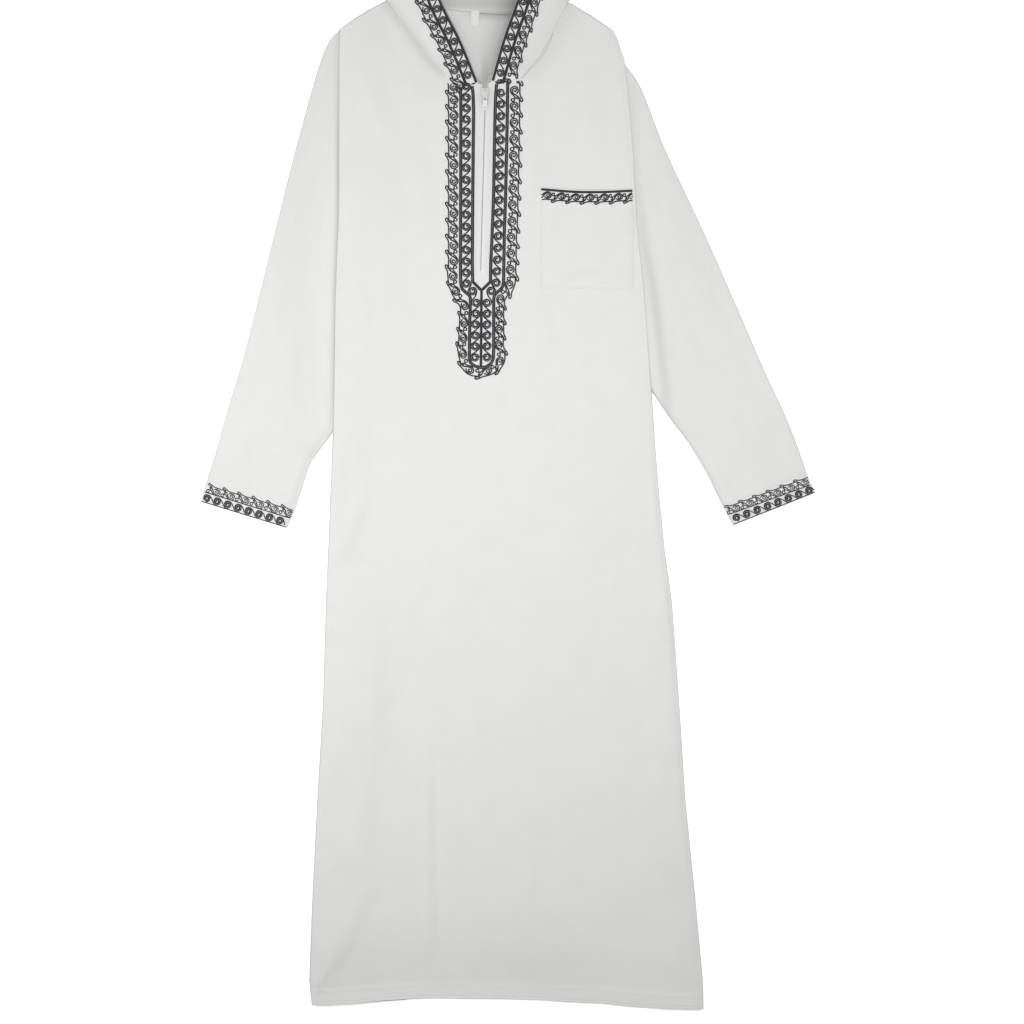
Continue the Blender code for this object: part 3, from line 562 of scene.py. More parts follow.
def pocket_level(x, y):
    """Height of the middle of the pocket's cloth, which is down on the front only where it is sewn."""
    x, y = np.asarray(x, float), np.asarray(y, float)
    from_sides = np.minimum(x - POCKET_LEFT, POCKET_RIGHT - x)
    from_sewn = np.minimum(from_sides, y - POCKET_BOTTOM)
    off = 0.45 + 1.3 * smoothstep(1.5, 13, from_sewn)
    share = np.clip((x - POCKET_LEFT) / (POCKET_RIGHT - POCKET_LEFT), 0, 1)
    mouth = smoothstep(28, 0, pocket_mouth(share) - y) * np.sin(math.pi * share)
    groove = -0.1 * bell(from_sewn - 2.4, 0.9)
    fine = crease_rise(x, y, POCKET_CREASES) * smoothstep(3, 14, from_sewn)
    return front_level(x, y) + off + 0.9 * mouth + groove + np.maximum(fine, -0.8)


# Meshes

def grid_faces(rows, columns, ring=False):
    """Corner numbers of the quads between neighbouring points of a grid."""
    row = np.arange(rows - 1)[:, None] * columns
    here = np.arange(columns if ring else columns - 1)[None, :]
    beside = (here + 1) % columns
    corners = (row + here, row + beside, row + columns + beside, row + columns + here)
    return np.stack(corners, -1).reshape(-1, 4)


def neck_shade(x, y):
    """How deep in shade a place inside the neck is: deepest by the right opening edge and the back seam."""
    beside = beside_line(x, y, hood_opening("right", 24))[0]
    seam = bell(y - 1389, 6) * smoothstep(-64, -20, x)
    shade = 0.06 + 0.72 * np.exp(-beside / 16) + 0.4 * seam + 0.38 * smoothstep(1392, 1402, y)
    shade += 0.35 * bell(x + 21.5, 5) * bell(y - 1296, 32)
    return np.clip(shade, 0, 1) * smoothstep(1270, 1300, y)


def seam_shade(x, y):
    """The soft shade in the neck seam's valley, beside the zip's slider, above the hem and in its corner."""
    shade = 0.5 * bell(x + 21, 6.5) * bell(y - 1277, 17)
    distance, share, _ = beside_line(x, y, ((-262, 8), (-230, 60), (-199, 99), (-170, 152)))
    fade = smoothstep(0, 0.12, share) * smoothstep(0.25, 0.85, 1 - share)
    shade += 0.12 * bell(distance, 4 + 8 * share) * fade
    up = y - hem_height(x)
    shade += 0.06 * smoothstep(5, 20, up) * (1 - smoothstep(50, 150, up)) * (1 - smoothstep(60, 200, x))
    for side, width, depth in (("left", 7.5, 0.24), ("right", 18, 0.13)):
        distance, share, _ = beside_line(x, y, NECK_FRONT[side][1:])
        shade += depth * bell(distance, width) * smoothstep(0, 0.15, share)
    return shade


def add_mesh(name, points, faces, weave, material, shade=None):
    """Makes an object of points in the garment's frame; weave gives each point's place in the cloth."""
    used = np.unique(np.concatenate([np.ravel(face) for face in faces]))
    renumber = np.zeros(len(points), int)
    renumber[used] = np.arange(len(used))
    mesh = bpy.data.meshes.new(name)
    mesh.from_pydata(((points[used] + SHIFT) * MM).tolist(), [], [renumber[face].tolist() for face in faces])
    attribute = mesh.attributes.new(name="weave", type="FLOAT_VECTOR", domain="POINT")
    attribute.data.foreach_set("vector", np.asarray(weave, np.float32)[used].ravel())
    if shade is not None:
        shaded = mesh.attributes.new(name="shade", type="FLOAT", domain="POINT")
        shaded.data.foreach_set("value", np.asarray(shade, np.float32).ravel()[used])
    mesh.shade_smooth()
    mesh.materials.append(material)
    piece = bpy.data.objects.new(name, mesh)
    bpy.context.scene.collection.objects.link(piece)
    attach(piece, "garment")
    return piece


def cloth_piece(name, node, points, faces, material, weave=None, shade=None, wall=CLOTH):
    """A mesh with its cloth's thickness, which stands for a node of the frame."""
    piece = add_mesh(name, points, faces, points if weave is None else weave, material, shade)
    solidify = piece.modifiers.new("wall", "SOLIDIFY")
    solidify.thickness = wall * MM
    solidify.offset = 0
    solidify.use_even_offset = True
    solidify.use_quality_normals = True
    piece.modifiers.new("shading", "WEIGHTED_NORMAL").weight = 100
    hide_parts(node)
    return piece


def flat_points(x, y, z):
    return np.stack([np.broadcast_to(part, np.shape(x)) for part in (x, y, z)], -1).reshape(-1, 3)


FOLD_STEPS = 7


def fold_round(place, normal, steps=FOLD_STEPS):
    """Points round a fold's half circle, from the upper layer to the lower one, for every row."""
    turn = math.pi * np.arange(1, steps + 1) / (steps + 1)
    out = FOLD_RADIUS * np.sin(turn)
    x = place[:, :1] + normal[:, :1] * out
    y = place[:, 1:] + normal[:, 1:] * out
    z = np.broadcast_to(BACK_MID + FOLD_RADIUS * (1 + np.cos(turn)), x.shape)
    return x, y, z


# The front

SLIT_COLUMNS = (0, 0.8, 1.7, 2.7, 3.9, 5.4, 6.4, 7.4, 8.8, 11.0)
SIDE_COLUMNS = (9, 6.5, 4.5, 3, 1.5, 0)
HEM_ROWS = (0, 1.0, 2.2, 3.0, 3.8, 4.8, 6.5, 9.5, 13, 16.5, 18.5, 20, 21.5, 23.5, 27, 31)
NECK_ROWS = (9.0, 6.0, 3.8, 2.2, 1.0, 0)
CELL, UPPER_CELL = 5.0, 4.2
CHEST = 994
ROLL_TURNS = np.radians((15, 30, 45, 60, 75, 90, 110, 130))
# The first of the roll's columns that hang straight down on the right, and how much lower they hang
HANGING, HANG_DROP = 6, 0.35
# Across the neckline, where each half of the front starts to go in under the hood and where it is clear again
UNDER_HOOD = {"left": ((-30, -37), (-152, -160)), "right": ((-12.6, -5), (89, 96))}


def spread(first, last, length, cell):
    """Even shares from the first to the last, about a cell apart on a line of the given length."""
    return np.linspace(first, last, round((last - first) * length / cell))


def front_columns(side):
    """Shares across a half of the front, close together beside the slit and at the side edge."""
    width = abs(side_edge(side, CHEST) - zip_line(CHEST))
    near_slit, near_side = np.array(SLIT_COLUMNS) / width, 1 - np.array(SIDE_COLUMNS) / width
    return np.concatenate([near_slit, spread(near_slit[-1], near_side[0], width, CELL)[1:-1], near_side])


def front_rows():
    """Shares up the front, close together at the hem and the neck, and the share where the slit starts."""
    full = SLIT_TOP - hem_height(0)
    hem_at_zip = hem_height(zip_line(0))
    start = (ZIP_BOTTOM - hem_at_zip) / (SLIT_TOP - hem_at_zip)
    hem_rows, neck_rows = np.array(HEM_ROWS) / full, 1 - np.array(NECK_ROWS) / full
    lower, upper = spread(hem_rows[-1], start, full, CELL), spread(start, neck_rows[0], full, UPPER_CELL)
    return np.concatenate([hem_rows, lower[1:], upper[1:-1], neck_rows])[:, None], start


def with_roll(side, x, y, z):
    """Adds the columns of the side edge's roll, which hangs straight down at its end on the right."""
    roll_x = x[:, -1:] + SIGN[side] * ROLL_RADIUS * np.sin(ROLL_TURNS)
    roll_z = z[:, -1:] - ROLL_RADIUS * (1 - np.cos(ROLL_TURNS))
    if side == "right":
        roll_x[:, HANGING:] = roll_x[:, HANGING - 1 : HANGING]
        roll_z[:, HANGING:] -= HANG_DROP
    x = np.hstack([x, roll_x])
    y = np.hstack([y, np.repeat(y[:, -1:], len(ROLL_TURNS), 1)])
    return x, y, np.hstack([z, np.maximum(roll_z, CLOTH / 2 + 0.05)])


def with_top_row(side, x, y, z):
    """Adds a top row, which turns down to the back at the shoulder and goes in under the hood at the neck."""
    inner, outer = UNDER_HOOD[side]
    under_hood = smoothstep(*inner, x[-1]) * (1 - smoothstep(*outer, x[-1]))
    at_shoulder = (1 - under_hood) * smoothstep(2, 12, abs(x[-1] - SHOULDER[side][-1][0]))
    to_back = at_shoulder * np.maximum(z[-1] - BACK_MID - CLOTH, 0)
    y = np.vstack([y, y[-1] + 0.3 + 2.2 * under_hood])
    return np.vstack([x, x[-1]]), y, np.vstack([z, z[-1] - 0.35 * under_hood - to_back])


def front_half(side):
    """Rows of points of one half of the front, from the slit to the side edge's roll, from hem to neck.

    Gives also how many rows lie below the slit, and the points' shade.
    """
    sign, shares = SIGN[side], front_columns(side)
    heights, start = front_rows()
    slit_edge = zip_line(SLIT_TOP) + sign * slit_half(SLIT_TOP)
    tip = SHOULDER[side][-1][0]
    top_edge = sorted([(slit_edge, SLIT_TOP), *NECK_FRONT[side], *SHOULDER[side][1:]])
    top_y = along(top_edge, 1, slit_edge + shares * (tip - slit_edge))
    hem_y = hem_height(zip_line(0) + shares * (SIDE_EDGES[0][COLUMN[side]] - zip_line(0)))
    y = hem_y + heights * (top_y - hem_y)
    beside_slit = heights > start + 1e-9
    centre = zip_line(y) + beside_slit * sign * slit_half(y)
    x = centre + shares * (side_edge(side, y) - sign * ROLL_INSET - centre)
    x, y, z = with_top_row(side, *with_roll(side, x, y, front_level(x, y)))
    shade = seam_shade(x, y)
    # Painted shade on the side edge's roll: strong on the left, and on the right much weaker above about 860
    # mm
    painted_roll_shade = 0.7 if side == "left" else 0.35 - 0.28 * smoothstep(820, 860, y[:, :1])
    shade[:, -len(ROLL_TURNS) :] += painted_roll_shade * np.minimum(ROLL_TURNS / 1.2, 1)
    return x, y, z, np.count_nonzero(~beside_slit), shade


def make_front(material):
    """Both halves of the front, which share their points along the zip's line below the slit."""
    points, faces, shades, offset, shared = [], [], [], 0, None
    for side in SIDES:
        x, y, z, joined, shade = front_half(side)
        quads = grid_faces(*x.shape)
        numbers = offset + np.arange(x.size)
        first = np.arange(joined) * x.shape[1]
        if shared is None:
            shared = numbers[first]
            quads = quads[:, ::-1]
        else:
            numbers[first] = shared
        faces.append(numbers[quads])
        points.append(flat_points(x, y, z))
        shades.append(shade.ravel())
        offset += x.size
    points, faces, shades = (np.concatenate(parts) for parts in (points, faces, shades))
    return cloth_piece("front_cloth", "front", points, faces, material, shade=shades)


# The back

BACK_SIDE_TOP = 770
UNDERARM_FROM = 790


def back_edge(side):
    """The back's side edge from hem to shoulder tip, as rows of height and across."""
    sign = SIGN[side]
    edge = [(row[0], row[COLUMN[side]] - sign * 1.5) for row in SIDE_EDGES if row[0] < BACK_SIDE_TOP]
    outer, under = sleeve_lines(side)
    out_normals, under_normals = outward_normals(outer, under), outward_normals(under, outer)
    gap = 2 * SEAM_GAP
    for x, y in (under + under_normals * gap)[::-1]:
        if y > UNDERARM_FROM and sign * (edge[-1][1] - x) > 0:
            edge.append((y, x))
    for place, normal in ((under[0], under_normals[0]), (outer[0], out_normals[0])):
        x, y = place - normal * SLEEVE_EDGE_INSET
        edge.append((y, x - sign * gap))
    return np.array(edge)


def make_back(material):
    left, right = back_edge("left"), back_edge("right")
    neck = sorted({corner for lines in (NECK_BACK, SHOULDER) for side in SIDES for corner in lines[side]})
    shares = np.linspace(0, 1, 72)
    heights = np.concatenate([[0, 0.002, 0.005, 0.012], np.linspace(0.018, 0.985, 176), [0.992, 0.997, 1]])
    top_y = along(neck, 1, left[-1, 1] + shares * (right[-1, 1] - left[-1, 1])) + 0.4
    hem_x = left[0, 1] + shares * (right[0, 1] - left[0, 1])
    start, end = HEM_PEEK
    peeks = smoothstep(start - 8, start + 8, hem_x) * (1 - smoothstep(end - 8, end + 8, hem_x))
    hem_y = hem_height(hem_x) + 1.0 - peeks * (1.0 + HEM_PEEK_DROP)
    y = hem_y + heights[:, None] * (top_y - hem_y)
    x = along(left, 1, y) * (1 - shares) + along(right, 1, y) * shares
    points = flat_points(x, y, BACK_MID)
    return cloth_piece("back_cloth", "back", points, grid_faces(*x.shape), material, shade=neck_shade(x, y))


# Sleeves and hood

def sleeve_shade(side, x, y, share, reach):
    """The shade on a sleeve's upper layer, beside the body and by its two folds."""
    from_under = (1 - share) * reach + FOLD_RADIUS
    from_body = SIGN[side] * (x - side_edge(side, y))
    if side == "left":
        beside = ((800, 0), (860, 0.25), (1180, 0.4), (1300, 0.1))
        shade = 0.1 * bell(from_under - 6, 4) + 0.15 * np.exp(-from_under / 1.5)
        shade += along(beside, 1, y) * bell(from_body - 0.5, 3.2)
    else:
        beside = ((820, 0.12), (880, 0.26), (980, 0.28), (1090, 0.2), (1170, 0.07), (1300, 0.02))
        middle = along(((860, 20), (980, 14), (1090, 7), (1200, 2)), 1, y)
        shade = 0.4 * np.exp(-from_under / 2) + along(beside, 1, y) * bell(from_body - middle, 8)
    return shade + 0.1 * np.exp(-(share * reach + FOLD_RADIUS) / 1.5)


def make_sleeve(side, material):
    """A flat tube: the upper layer, the underarm's round, the lower layer and the outer edge's round."""
    outer, under = sleeve_lines(side, 150)
    out_normals, under_normals = outward_normals(outer, under), outward_normals(under, outer)
    outer_in = outer - out_normals * SLEEVE_EDGE_INSET
    across_in = under - under_normals * SLEEVE_EDGE_INSET - outer_in
    share = np.concatenate([[0, 0.012, 0.03, 0.055], np.linspace(0.09, 0.91, 26), [0.945, 0.97, 0.988, 1]])
    (x, y), (low_x, low_y) = (
        [outer_in[:, [k]] + shares * across_in[:, [k]] for k in (0, 1)]
        for shares in (share, np.linspace(1, 0, 14))
    )
    upper = (x, y, sleeve_level(side, x, y))
    lower = (low_x, low_y, np.full(low_x.shape, BACK_MID))
    under_fold = fold_round(outer_in + across_in, under_normals)
    outer_fold = [part[:, ::-1] for part in fold_round(outer_in, out_normals)]
    ring = [np.hstack(parts) for parts in zip(upper, under_fold, lower, outer_fold)]
    round_steps = [np.diff(part, axis=1, prepend=part[:, :1]) for part in ring[:2]]
    down = line_lengths((outer + under) / 2)[:, None]
    weave = flat_points(np.cumsum(np.hypot(*round_steps), 1), down, 0)
    shade = np.zeros(ring[0].shape)
    shade[:, : len(share)] = sleeve_shade(side, x, y, share, np.hypot(*across_in.T)[:, None])
    shade[:, len(share) : len(share) + FOLD_STEPS] = 0.2 if side == "left" else 0.42
    shade[:, -FOLD_STEPS:] = 0.12
    points, faces = flat_points(*ring), grid_faces(*shade.shape, ring=True)
    return cloth_piece("sleeve_%s_cloth" % side, "sleeve_" + side, points, faces, material, weave, shade)


def on_line(corners, share):
    corners = np.array(corners, float)
    fractions = line_lengths(corners) / line_lengths(corners)[-1]
    return np.stack([np.interp(share, fractions, corners[:, k]) for k in (0, 1)], -1)


def with_corners(corners, count):
    """Even shares along a line, with the shares of its own corners among them."""
    fractions = line_lengths(np.array(corners, float))
    return np.unique(np.round(np.concatenate([np.linspace(0, 1, count), fractions / fractions[-1]]), 5))


def make_hood(side, material):
    """A hood half: the upper layer from the opening out to the fold, the fold's round and the lower layer."""
    count = 84
    table = smooth_rows(HOOD[side], count)
    table[-1, [0, 2]] += SIGN[side] * CROWN_GAP
    opening, fold, back = table[:, 0:2], table[:, 2:4], table[:, 4:6]
    normals = outward_normals(fold, (opening + back) / 2)
    normals[-1] = (0, 1)
    place = fold - normals * (FOLD_RADIUS + SOLID_WALL / 2)
    bend = (1 - smoothstep(0, 0.3, np.linspace(0, 1, count)))[:, None]
    layers = []
    for start, first, line, shares in (
        (opening, opening[0], NECK_FRONT[side], with_corners(NECK_FRONT[side], 30)),
        (back, NECK_BACK[side][0], NECK_BACK[side], with_corners(NECK_BACK[side], 22)[::-1]),
    ):
        first = np.array(first)
        extra = on_line(line, shares) - (first + shares[:, None] * (np.array(line[-1]) - first))
        reach = place - start
        layers.append([start[:, [k]] + shares * reach[:, [k]] + bend * extra[:, k] for k in (0, 1)])
    (up_x, up_y), (low_x, low_y) = layers
    round_x, round_y, round_z = fold_round(place, normals)
    x, y = np.hstack([up_x, round_x, low_x]), np.hstack([up_y, round_y, low_y])
    z = np.hstack([hood_level(side, up_x, up_y), round_z, np.full(low_x.shape, BACK_MID)])
    shade = np.hstack([seam_shade(up_x, up_y), np.zeros(round_x.shape), neck_shade(low_x, low_y)])
    # Where it is sewn to the front, the upper layer's edge goes down into the seam
    upper = np.clip((up_x.shape[1] - 1 - np.arange(x.shape[1])) / 5, 0, 1)
    ahead = np.stack([x[1] - x[0], y[1] - y[0]])
    ahead *= (0.1 + 1.4 * upper) / np.hypot(*ahead)
    x, y = np.vstack([x[0] - ahead[0], x]), np.vstack([y[0] - ahead[1], y])
    z, shade = np.vstack([z[0] - 0.9 * upper, z]), np.vstack([shade[0], shade])
    points, faces = flat_points(x, y, z), grid_faces(*x.shape)
    return cloth_piece("hood_%s_cloth" % side, "hood_" + side, points, faces, material, shade=shade)


# The pocket

def make_pocket(material):
    share = np.linspace(0, 1, 50)
    share = np.concatenate([[0, 0.006, 0.012, 0.02], share[2:-2], [0.98, 0.988, 0.994, 1]])
    up = np.concatenate([[0, 0.006, 0.012, 0.02], np.linspace(0.04, 1, 50)])[:, None]
    x = POCKET_LEFT + share * (POCKET_RIGHT - POCKET_LEFT) + np.zeros(up.shape)
    y = POCKET_BOTTOM + up * (pocket_mouth(share) - POCKET_BOTTOM)
    points = flat_points(x, y, pocket_level(x, y))
    # Painted shade along the pocket's sag crease
    distance, share, _ = beside_line(x, y, ((76, 1012), (100, 1024), (156, 1028)))
    painted_sag_shade = 0.05 * bell(distance, 8) * smoothstep(0, 0.3, share) * smoothstep(0, 0.3, 1 - share)
    return cloth_piece("pocket_cloth", "pocket", points, grid_faces(*x.shape), material, shade=painted_sag_shade)


# Threads

def thread_piece(name, groups, level, material, spacing=1.25, sides=6, rise=0.45):
    """Threads laid on the cloth along lines in the plane: tubes a little flattened, closed at their ends.

    Each group is its lines, half width and half height.
    """
    tubes = [(resample(line, spacing), wide, high) for lines, wide, high in groups for line in lines]
    tubes = [tube for tube in tubes if len(tube[0]) > 2]
    joined = np.concatenate([line for line, _, _ in tubes])
    floors = level(joined[:, 0], joined[:, 1]) + CLOTH / 2
    turn = 2 * math.pi * np.arange(sides) / sides
    points, weave, quads, caps, offset, start = [], [], [], [], 0, 0
    for line, wide, high in tubes:
        count = len(line)
        tangent = np.gradient(line, axis=0)
        tangent /= np.maximum(np.linalg.norm(tangent, axis=1), 1e-9)[:, None]
        size = np.ones(count)
        size[0] = size[-1] = 0.5
        across = size[:, None] * wide * np.cos(turn)
        x = line[:, :1] - tangent[:, 1:] * across
        y = line[:, 1:] + tangent[:, :1] * across
        z = floors[start : start + count, None] + high * (rise + size[:, None] * np.sin(turn))
        points.append(flat_points(x, y, z))
        run = line_lengths(line)[:, None] + np.zeros(sides)
        weave.append(flat_points(run, turn / (2 * math.pi) + np.zeros(x.shape), np.zeros(x.shape)))
        quads.append(offset + grid_faces(count, sides, ring=True))
        caps.append(offset + np.arange(sides)[::-1])
        caps.append(offset + (count - 1) * sides + np.arange(sides))
        offset += count * sides
        start += count
    faces = [*np.concatenate(quads), *caps]
    return add_mesh(name, np.concatenate(points), faces, np.concatenate(weave), material)


def arc(centre, radius, start, end, count=14):
    turn = np.radians(np.linspace(start, end, count))
    return np.stack([centre[0] + radius * np.cos(turn), centre[1] + radius * np.sin(turn)], -1)


def curve(corners, steps=6):
    """A smooth curve through a few points."""
    return smooth_rows(corners, (len(corners) - 1) * steps + 1)


def spiral(radius, step, turns, start=90.0, count=34):
    """A spiral from its outer end in, clockwise in u and v: it closes in by step in each half turn."""
    t = np.linspace(0, 1, count)
    angle = np.radians(start) - 2 * math.pi * turns * t
    r = radius - 2 * step * turns * t
    return np.stack([r * np.cos(angle), r * np.sin(angle)], -1)


def framed(lines, centre, ahead, hand):
    """A unit's lines set at a centre, with u ahead and v to the left of it, or to the right if hand is -1."""
    u = np.array(ahead) / np.hypot(*ahead)
    v = hand * np.array([-u[1], u[0]])
    return [np.array(centre) + line[:, :1] * u + line[:, 1:] * v for line in lines]


def running_row(centres, hand, radius=5.6, step=1.3, turns=(1.95, 1.3)):
    """A row of two-armed scrolls, each linked from its one side to the next one's other side."""
    centres = np.array(centres, float)
    ahead = np.gradient(centres, axis=0)
    scroll = [spiral(radius + 0.4, step, turns[0], count=44), -spiral(radius, step, turns[1], count=32)]
    share, side = resample(((0, -1), (0.1, -0.98), (0.22, -0.83), (0.38, -0.5), (0.54, 0.05), (0.68, 0.62),
                            (0.8, 0.97), (0.9, 1.07), (1, 1.07)), 0.1).T
    links, scrolls = [], []
    for i, (centre, forward) in enumerate(zip(centres, ahead)):
        scrolls += framed(scroll, centre, forward, hand)
        if i + 1 == len(centres):
            continue
        place = centre + share[:, None] * (centres[i + 1] - centre)
        way = forward + share[:, None] * (ahead[i + 1] - forward)
        way /= np.linalg.norm(way, axis=1)[:, None]
        links.append(place + hand * radius * side[:, None] * np.stack([-way[:, 1], way[:, 0]], -1))
    return links, scrolls


def edging_unit(long=1.0, inner=1.0, outer=1.0):
    """One unit of the edging: a scroll on two stems, an eye, a ring, and a loop down beside the scroll."""
    outer_arm = curve((
        (-10.8, 0.9), (-8.3, -0.8), (-5.6, -3.4), (-3.1, -5.2), (0, -5.8), (3.3, -4.7), (5.3, -1.0),
        (4.6, 2.9), (1.2, 4.9), (-2.6, 4.6), (-5.0, 2.3),
    ), 4)
    inner_arm = curve((
        (-11.1, 7.2), (-8.3, 4.4), (-6.6, 1.4), (-5.2, -1.0), (-3.0, -3.0), (-0.5, -3.5), (1.9, -2.5),
        (2.9, -0.1), (1.8, 2.1), (-0.5, 2.3), (-1.7, 0.6), (-1.0, -0.9), (0.4, -0.6),
    ), 4)
    loop = curve((
        (-11.1, 7.2), (-13.6, 8.6), (-15.7, 9.9), (-15.9, 11.2), (-14.2, 12.2), (-11.6, 11.2), (-8.6, 9.1),
        (-5.2, 7.8), (-1.0, 7.5), (3.5, 7.5), (8.0, 7.2), (11.2, 7.2),
    ), 4)
    eye = arc((-10.8, 4.4), 1.5, 0, 360, 9)
    ring = arc((-13.6, -2.4), 2.3, 0, 360, 13)
    knots = arc((-11.2, 7.6), 0.95, 0, 360, 7), arc((-10.8, 0.8), 0.95, 0, 360, 7)
    lines = []
    for line in (outer_arm, inner_arm, loop, eye, ring, *knots):
        u, v = line[:, 0] * long, line[:, 1]
        lines.append(np.stack([u, v * np.where(v > 0, outer, inner)], -1))
    return lines


class Run:
    """A line that embroidery follows: places along it and out to one side of it."""

    def __init__(self, corners, hand, smoothing=0):
        line = resample(corners, 1.0)
        for _ in range(smoothing):
            line[1:-1] = (line[:-2] + 2 * line[1:-1] + line[2:]) / 4
        self.line = resample(line, 1.0)
        self.lengths = line_lengths(self.line)
        self.length = self.lengths[-1]
        tangent = np.gradient(self.line, axis=0)
        tangent /= np.linalg.norm(tangent, axis=1)[:, None]
        self.tangent = tangent
        self.hand = hand

    def place(self, along_run, out):
        inside = np.clip(along_run, 0, self.length)
        beyond = along_run - inside
        x, y = (np.interp(inside, self.lengths, self.line[:, k]) for k in (0, 1))
        tx, ty = (np.interp(inside, self.lengths, self.tangent[:, k]) for k in (0, 1))
        size = np.hypot(tx, ty)
        tx, ty = tx / size, ty / size
        out = out * self.hand
        return np.stack([x + beyond * tx - out * ty, y + beyond * ty + out * tx], -1)

    def put(self, lines, station, out=0.0):
        """Bends a unit's lines round the run at a station."""
        return [self.place(station + line[:, 0], out + line[:, 1]) for line in lines]

    def beside(self, out, start=0.0, end=None):
        """The line that runs beside the run at a distance."""
        stations = np.arange(start, (self.length if end is None else end) + 0.01, 1.5)
        return self.place(stations, np.full(len(stations), float(out)))


def kept(lines, inside):
    """The parts of lines whose points pass a test."""
    parts = []
    for line in lines:
        line = np.asarray(line, float)
        breaks = np.flatnonzero(np.diff(inside(line[:, 0], line[:, 1]).astype(int))) + 1
        parts += [part for part in np.split(line, breaks) if len(part) > 1 and inside(*part[0])]
    return parts


def on_sleeve(side, x, y):
    """True well inside the sleeve's two edges."""
    rows = np.array(SLEEVE[side], float)
    outer = np.interp(y, rows[::-1, 1], rows[::-1, 0])
    under = np.interp(y, rows[::-1, 3], rows[::-1, 2])
    return np.minimum(SIGN[side] * (outer - x), SIGN[side] * (x - under)) > 0.4


def cord_pair(run, out=0.0, gap=2.4, start=0.0, end=None):
    return [run.beside(out - gap / 2, start, end), run.beside(out + gap / 2, start, end)]


# The photo's scale, and the pixel of the garment's origin
PIXEL = 1.4
ORIGIN_PIXEL = (500, 1006)


def from_photo(*places):
    """Places in the picture as places on the garment."""
    return [((x - ORIGIN_PIXEL[0]) * PIXEL, (ORIGIN_PIXEL[1] - y) * PIXEL) for x, y in places]


THREAD_WIDTH, FINE_WIDTH, CORD_WIDTH = 0.99, 0.74, 1.13

# The placket's scroll rows beside the zip, from the neck down to below the point, and its edging's scrolls,
# from the neck down the left side, round the foot and up the right side
LEFT_SCROLLS = (
    (-46.6, 1287.4), (-46.9, 1271.9), (-46.9, 1256.9), (-46.9, 1241.1), (-46.9, 1224.2), (-46.9, 1207.2),
    (-46.9, 1190.0), (-46.9, 1173.2), (-46.9, 1156.4), (-46.9, 1140.0), (-46.9, 1123.8),
    (-46.9, 1107.7), (-46.9, 1090.9), (-46.9, 1074.6), (-46.9, 1058.4), (-46.9, 1042.3),
    (-46.9, 1026.5), (-46.8, 1011.5), (-38.1, 1001.0), (-33.0, 984.5), (-33.6, 969.1), (-34.0, 954.2),
    (-34.2, 938.7), (-34.3, 923.4), (-34.7, 908.0),
)
RIGHT_SCROLLS = (
    (1.4, 1278.6), (1.3, 1262.4), (0.8, 1245.6), (0.6, 1228.8), (0.3, 1212.0), (-0.1, 1195.2),
    (-0.4, 1178.1), (-0.7, 1161.6), (-1.0, 1144.5), (-1.4, 1128.0), (-1.8, 1111.2), (-2.2, 1094.8),
    (-2.7, 1078.0), (-3.2, 1061.5), (-3.9, 1044.8), (-4.8, 1028.4), (-5.7, 1012.5), (-12.6, 1001.3),
    (-18.3, 984.5), (-18.5, 969.1), (-18.5, 954.0), (-18.5, 938.7), (-18.5, 923.6), (-18.8, 908.0),
)
EDGING_SCROLLS = (
    (-65.1, 1286.3), (-64.7, 1268.0), (-64.7, 1246.3), (-64.7, 1224.2), (-64.7, 1200.9),
    (-64.7, 1177.7), (-64.7, 1154.6), (-64.7, 1132.0), (-64.7, 1109.5), (-64.7, 1087.2),
    (-64.7, 1064.8), (-64.7, 1042.9), (-65.8, 1021.4), (-61.9, 1000.2), (-50.0, 980.3), (-50.5, 956.2),
    (-51.5, 934.4), (-52.1, 912.5), (-42.4, 890.3), (-17.6, 888.7), (0.1, 903.0), (-1.5, 925.8),
    (-1.0, 947.4), (-1.0, 968.4), (1.0, 989.9), (13.2, 1009.7), (14.8, 1031.1), (15.4, 1053.4),
    (15.8, 1075.9), (17.1, 1098.3), (17.6, 1121.4), (18.2, 1144.2), (18.8, 1167.2), (19.2, 1190.3),
    (19.6, 1213.4), (20.0, 1236.8), (20.2, 1259.7), (20.6, 1281.8), (20.9, 1304.2),
)


# The placket's lines as places in the picture, across and down: its outer edge, the bands' edges beside the
# zip, the point where those meet, the foot below it, and the cords that close the bands at the neck
PLACKET_EDGE = (
    (460.7, 87.5), (460.9, 112), (460.5, 270), (460.7, 283.0), (462.0, 289.0), (466.0, 292.8), (469.8, 295.6),
    (470.6, 300), (469.8, 320), (469.5, 349), (469.4, 359.5), (471.0, 363.6), (475.0, 366.4), (481.2, 367.7),
    (486.6, 366.8), (491.2, 363.5), (493.2, 359), (493.7, 349), (493.7, 299), (494.4, 295.0), (499.0, 290.8),
    (502.4, 287.5), (503.6, 283.0), (503.7, 270), (504.4, 230), (505.5, 200), (507.4, 112), (507.7, 82.5),
)
ZIP_SIDES = (
    ((471.9, 86), (473.1, 94), (473.6, 112), (472.8, 190), (472.3, 262), (472.7, 281.8)),
    ((496.6, 84), (495.8, 94), (495.1, 112), (493.5, 200), (491.9, 240), (490.8, 262), (490.5, 281.8)),
)
BAND_POINT, PLACKET_FOOT = (481.5, 290.5), (480.9, 366.8)
LEFT_END = ((471.4, 84.3), (475.5, 83.2))
RIGHT_END_CORDS = (
    ((494.9, 81.7), (498.0, 82.2), (501.0, 81.5), (503.5, 79.9), (507.0, 79.2), (510.0, 80.0), (511.3, 82.6)),
    ((496.0, 83.2), (499.5, 83.4), (503.0, 82.6), (506.5, 81.4), (509.0, 82.8)),
    ((497.0, 80.6), (501.0, 80.0), (505.0, 81.0), (509.5, 83.6), (511.0, 80.6)),
)
END_SCROLL = (508.0, 81.6)

# The edging's unit at the placket: the pitch that it is drawn for, how little and how much it stretches, and
# which of them go round the foot
UNIT_PITCH, UNIT_STRETCH, FOOT_UNITS = 22.4, (0.85, 1.06), range(13, 25)


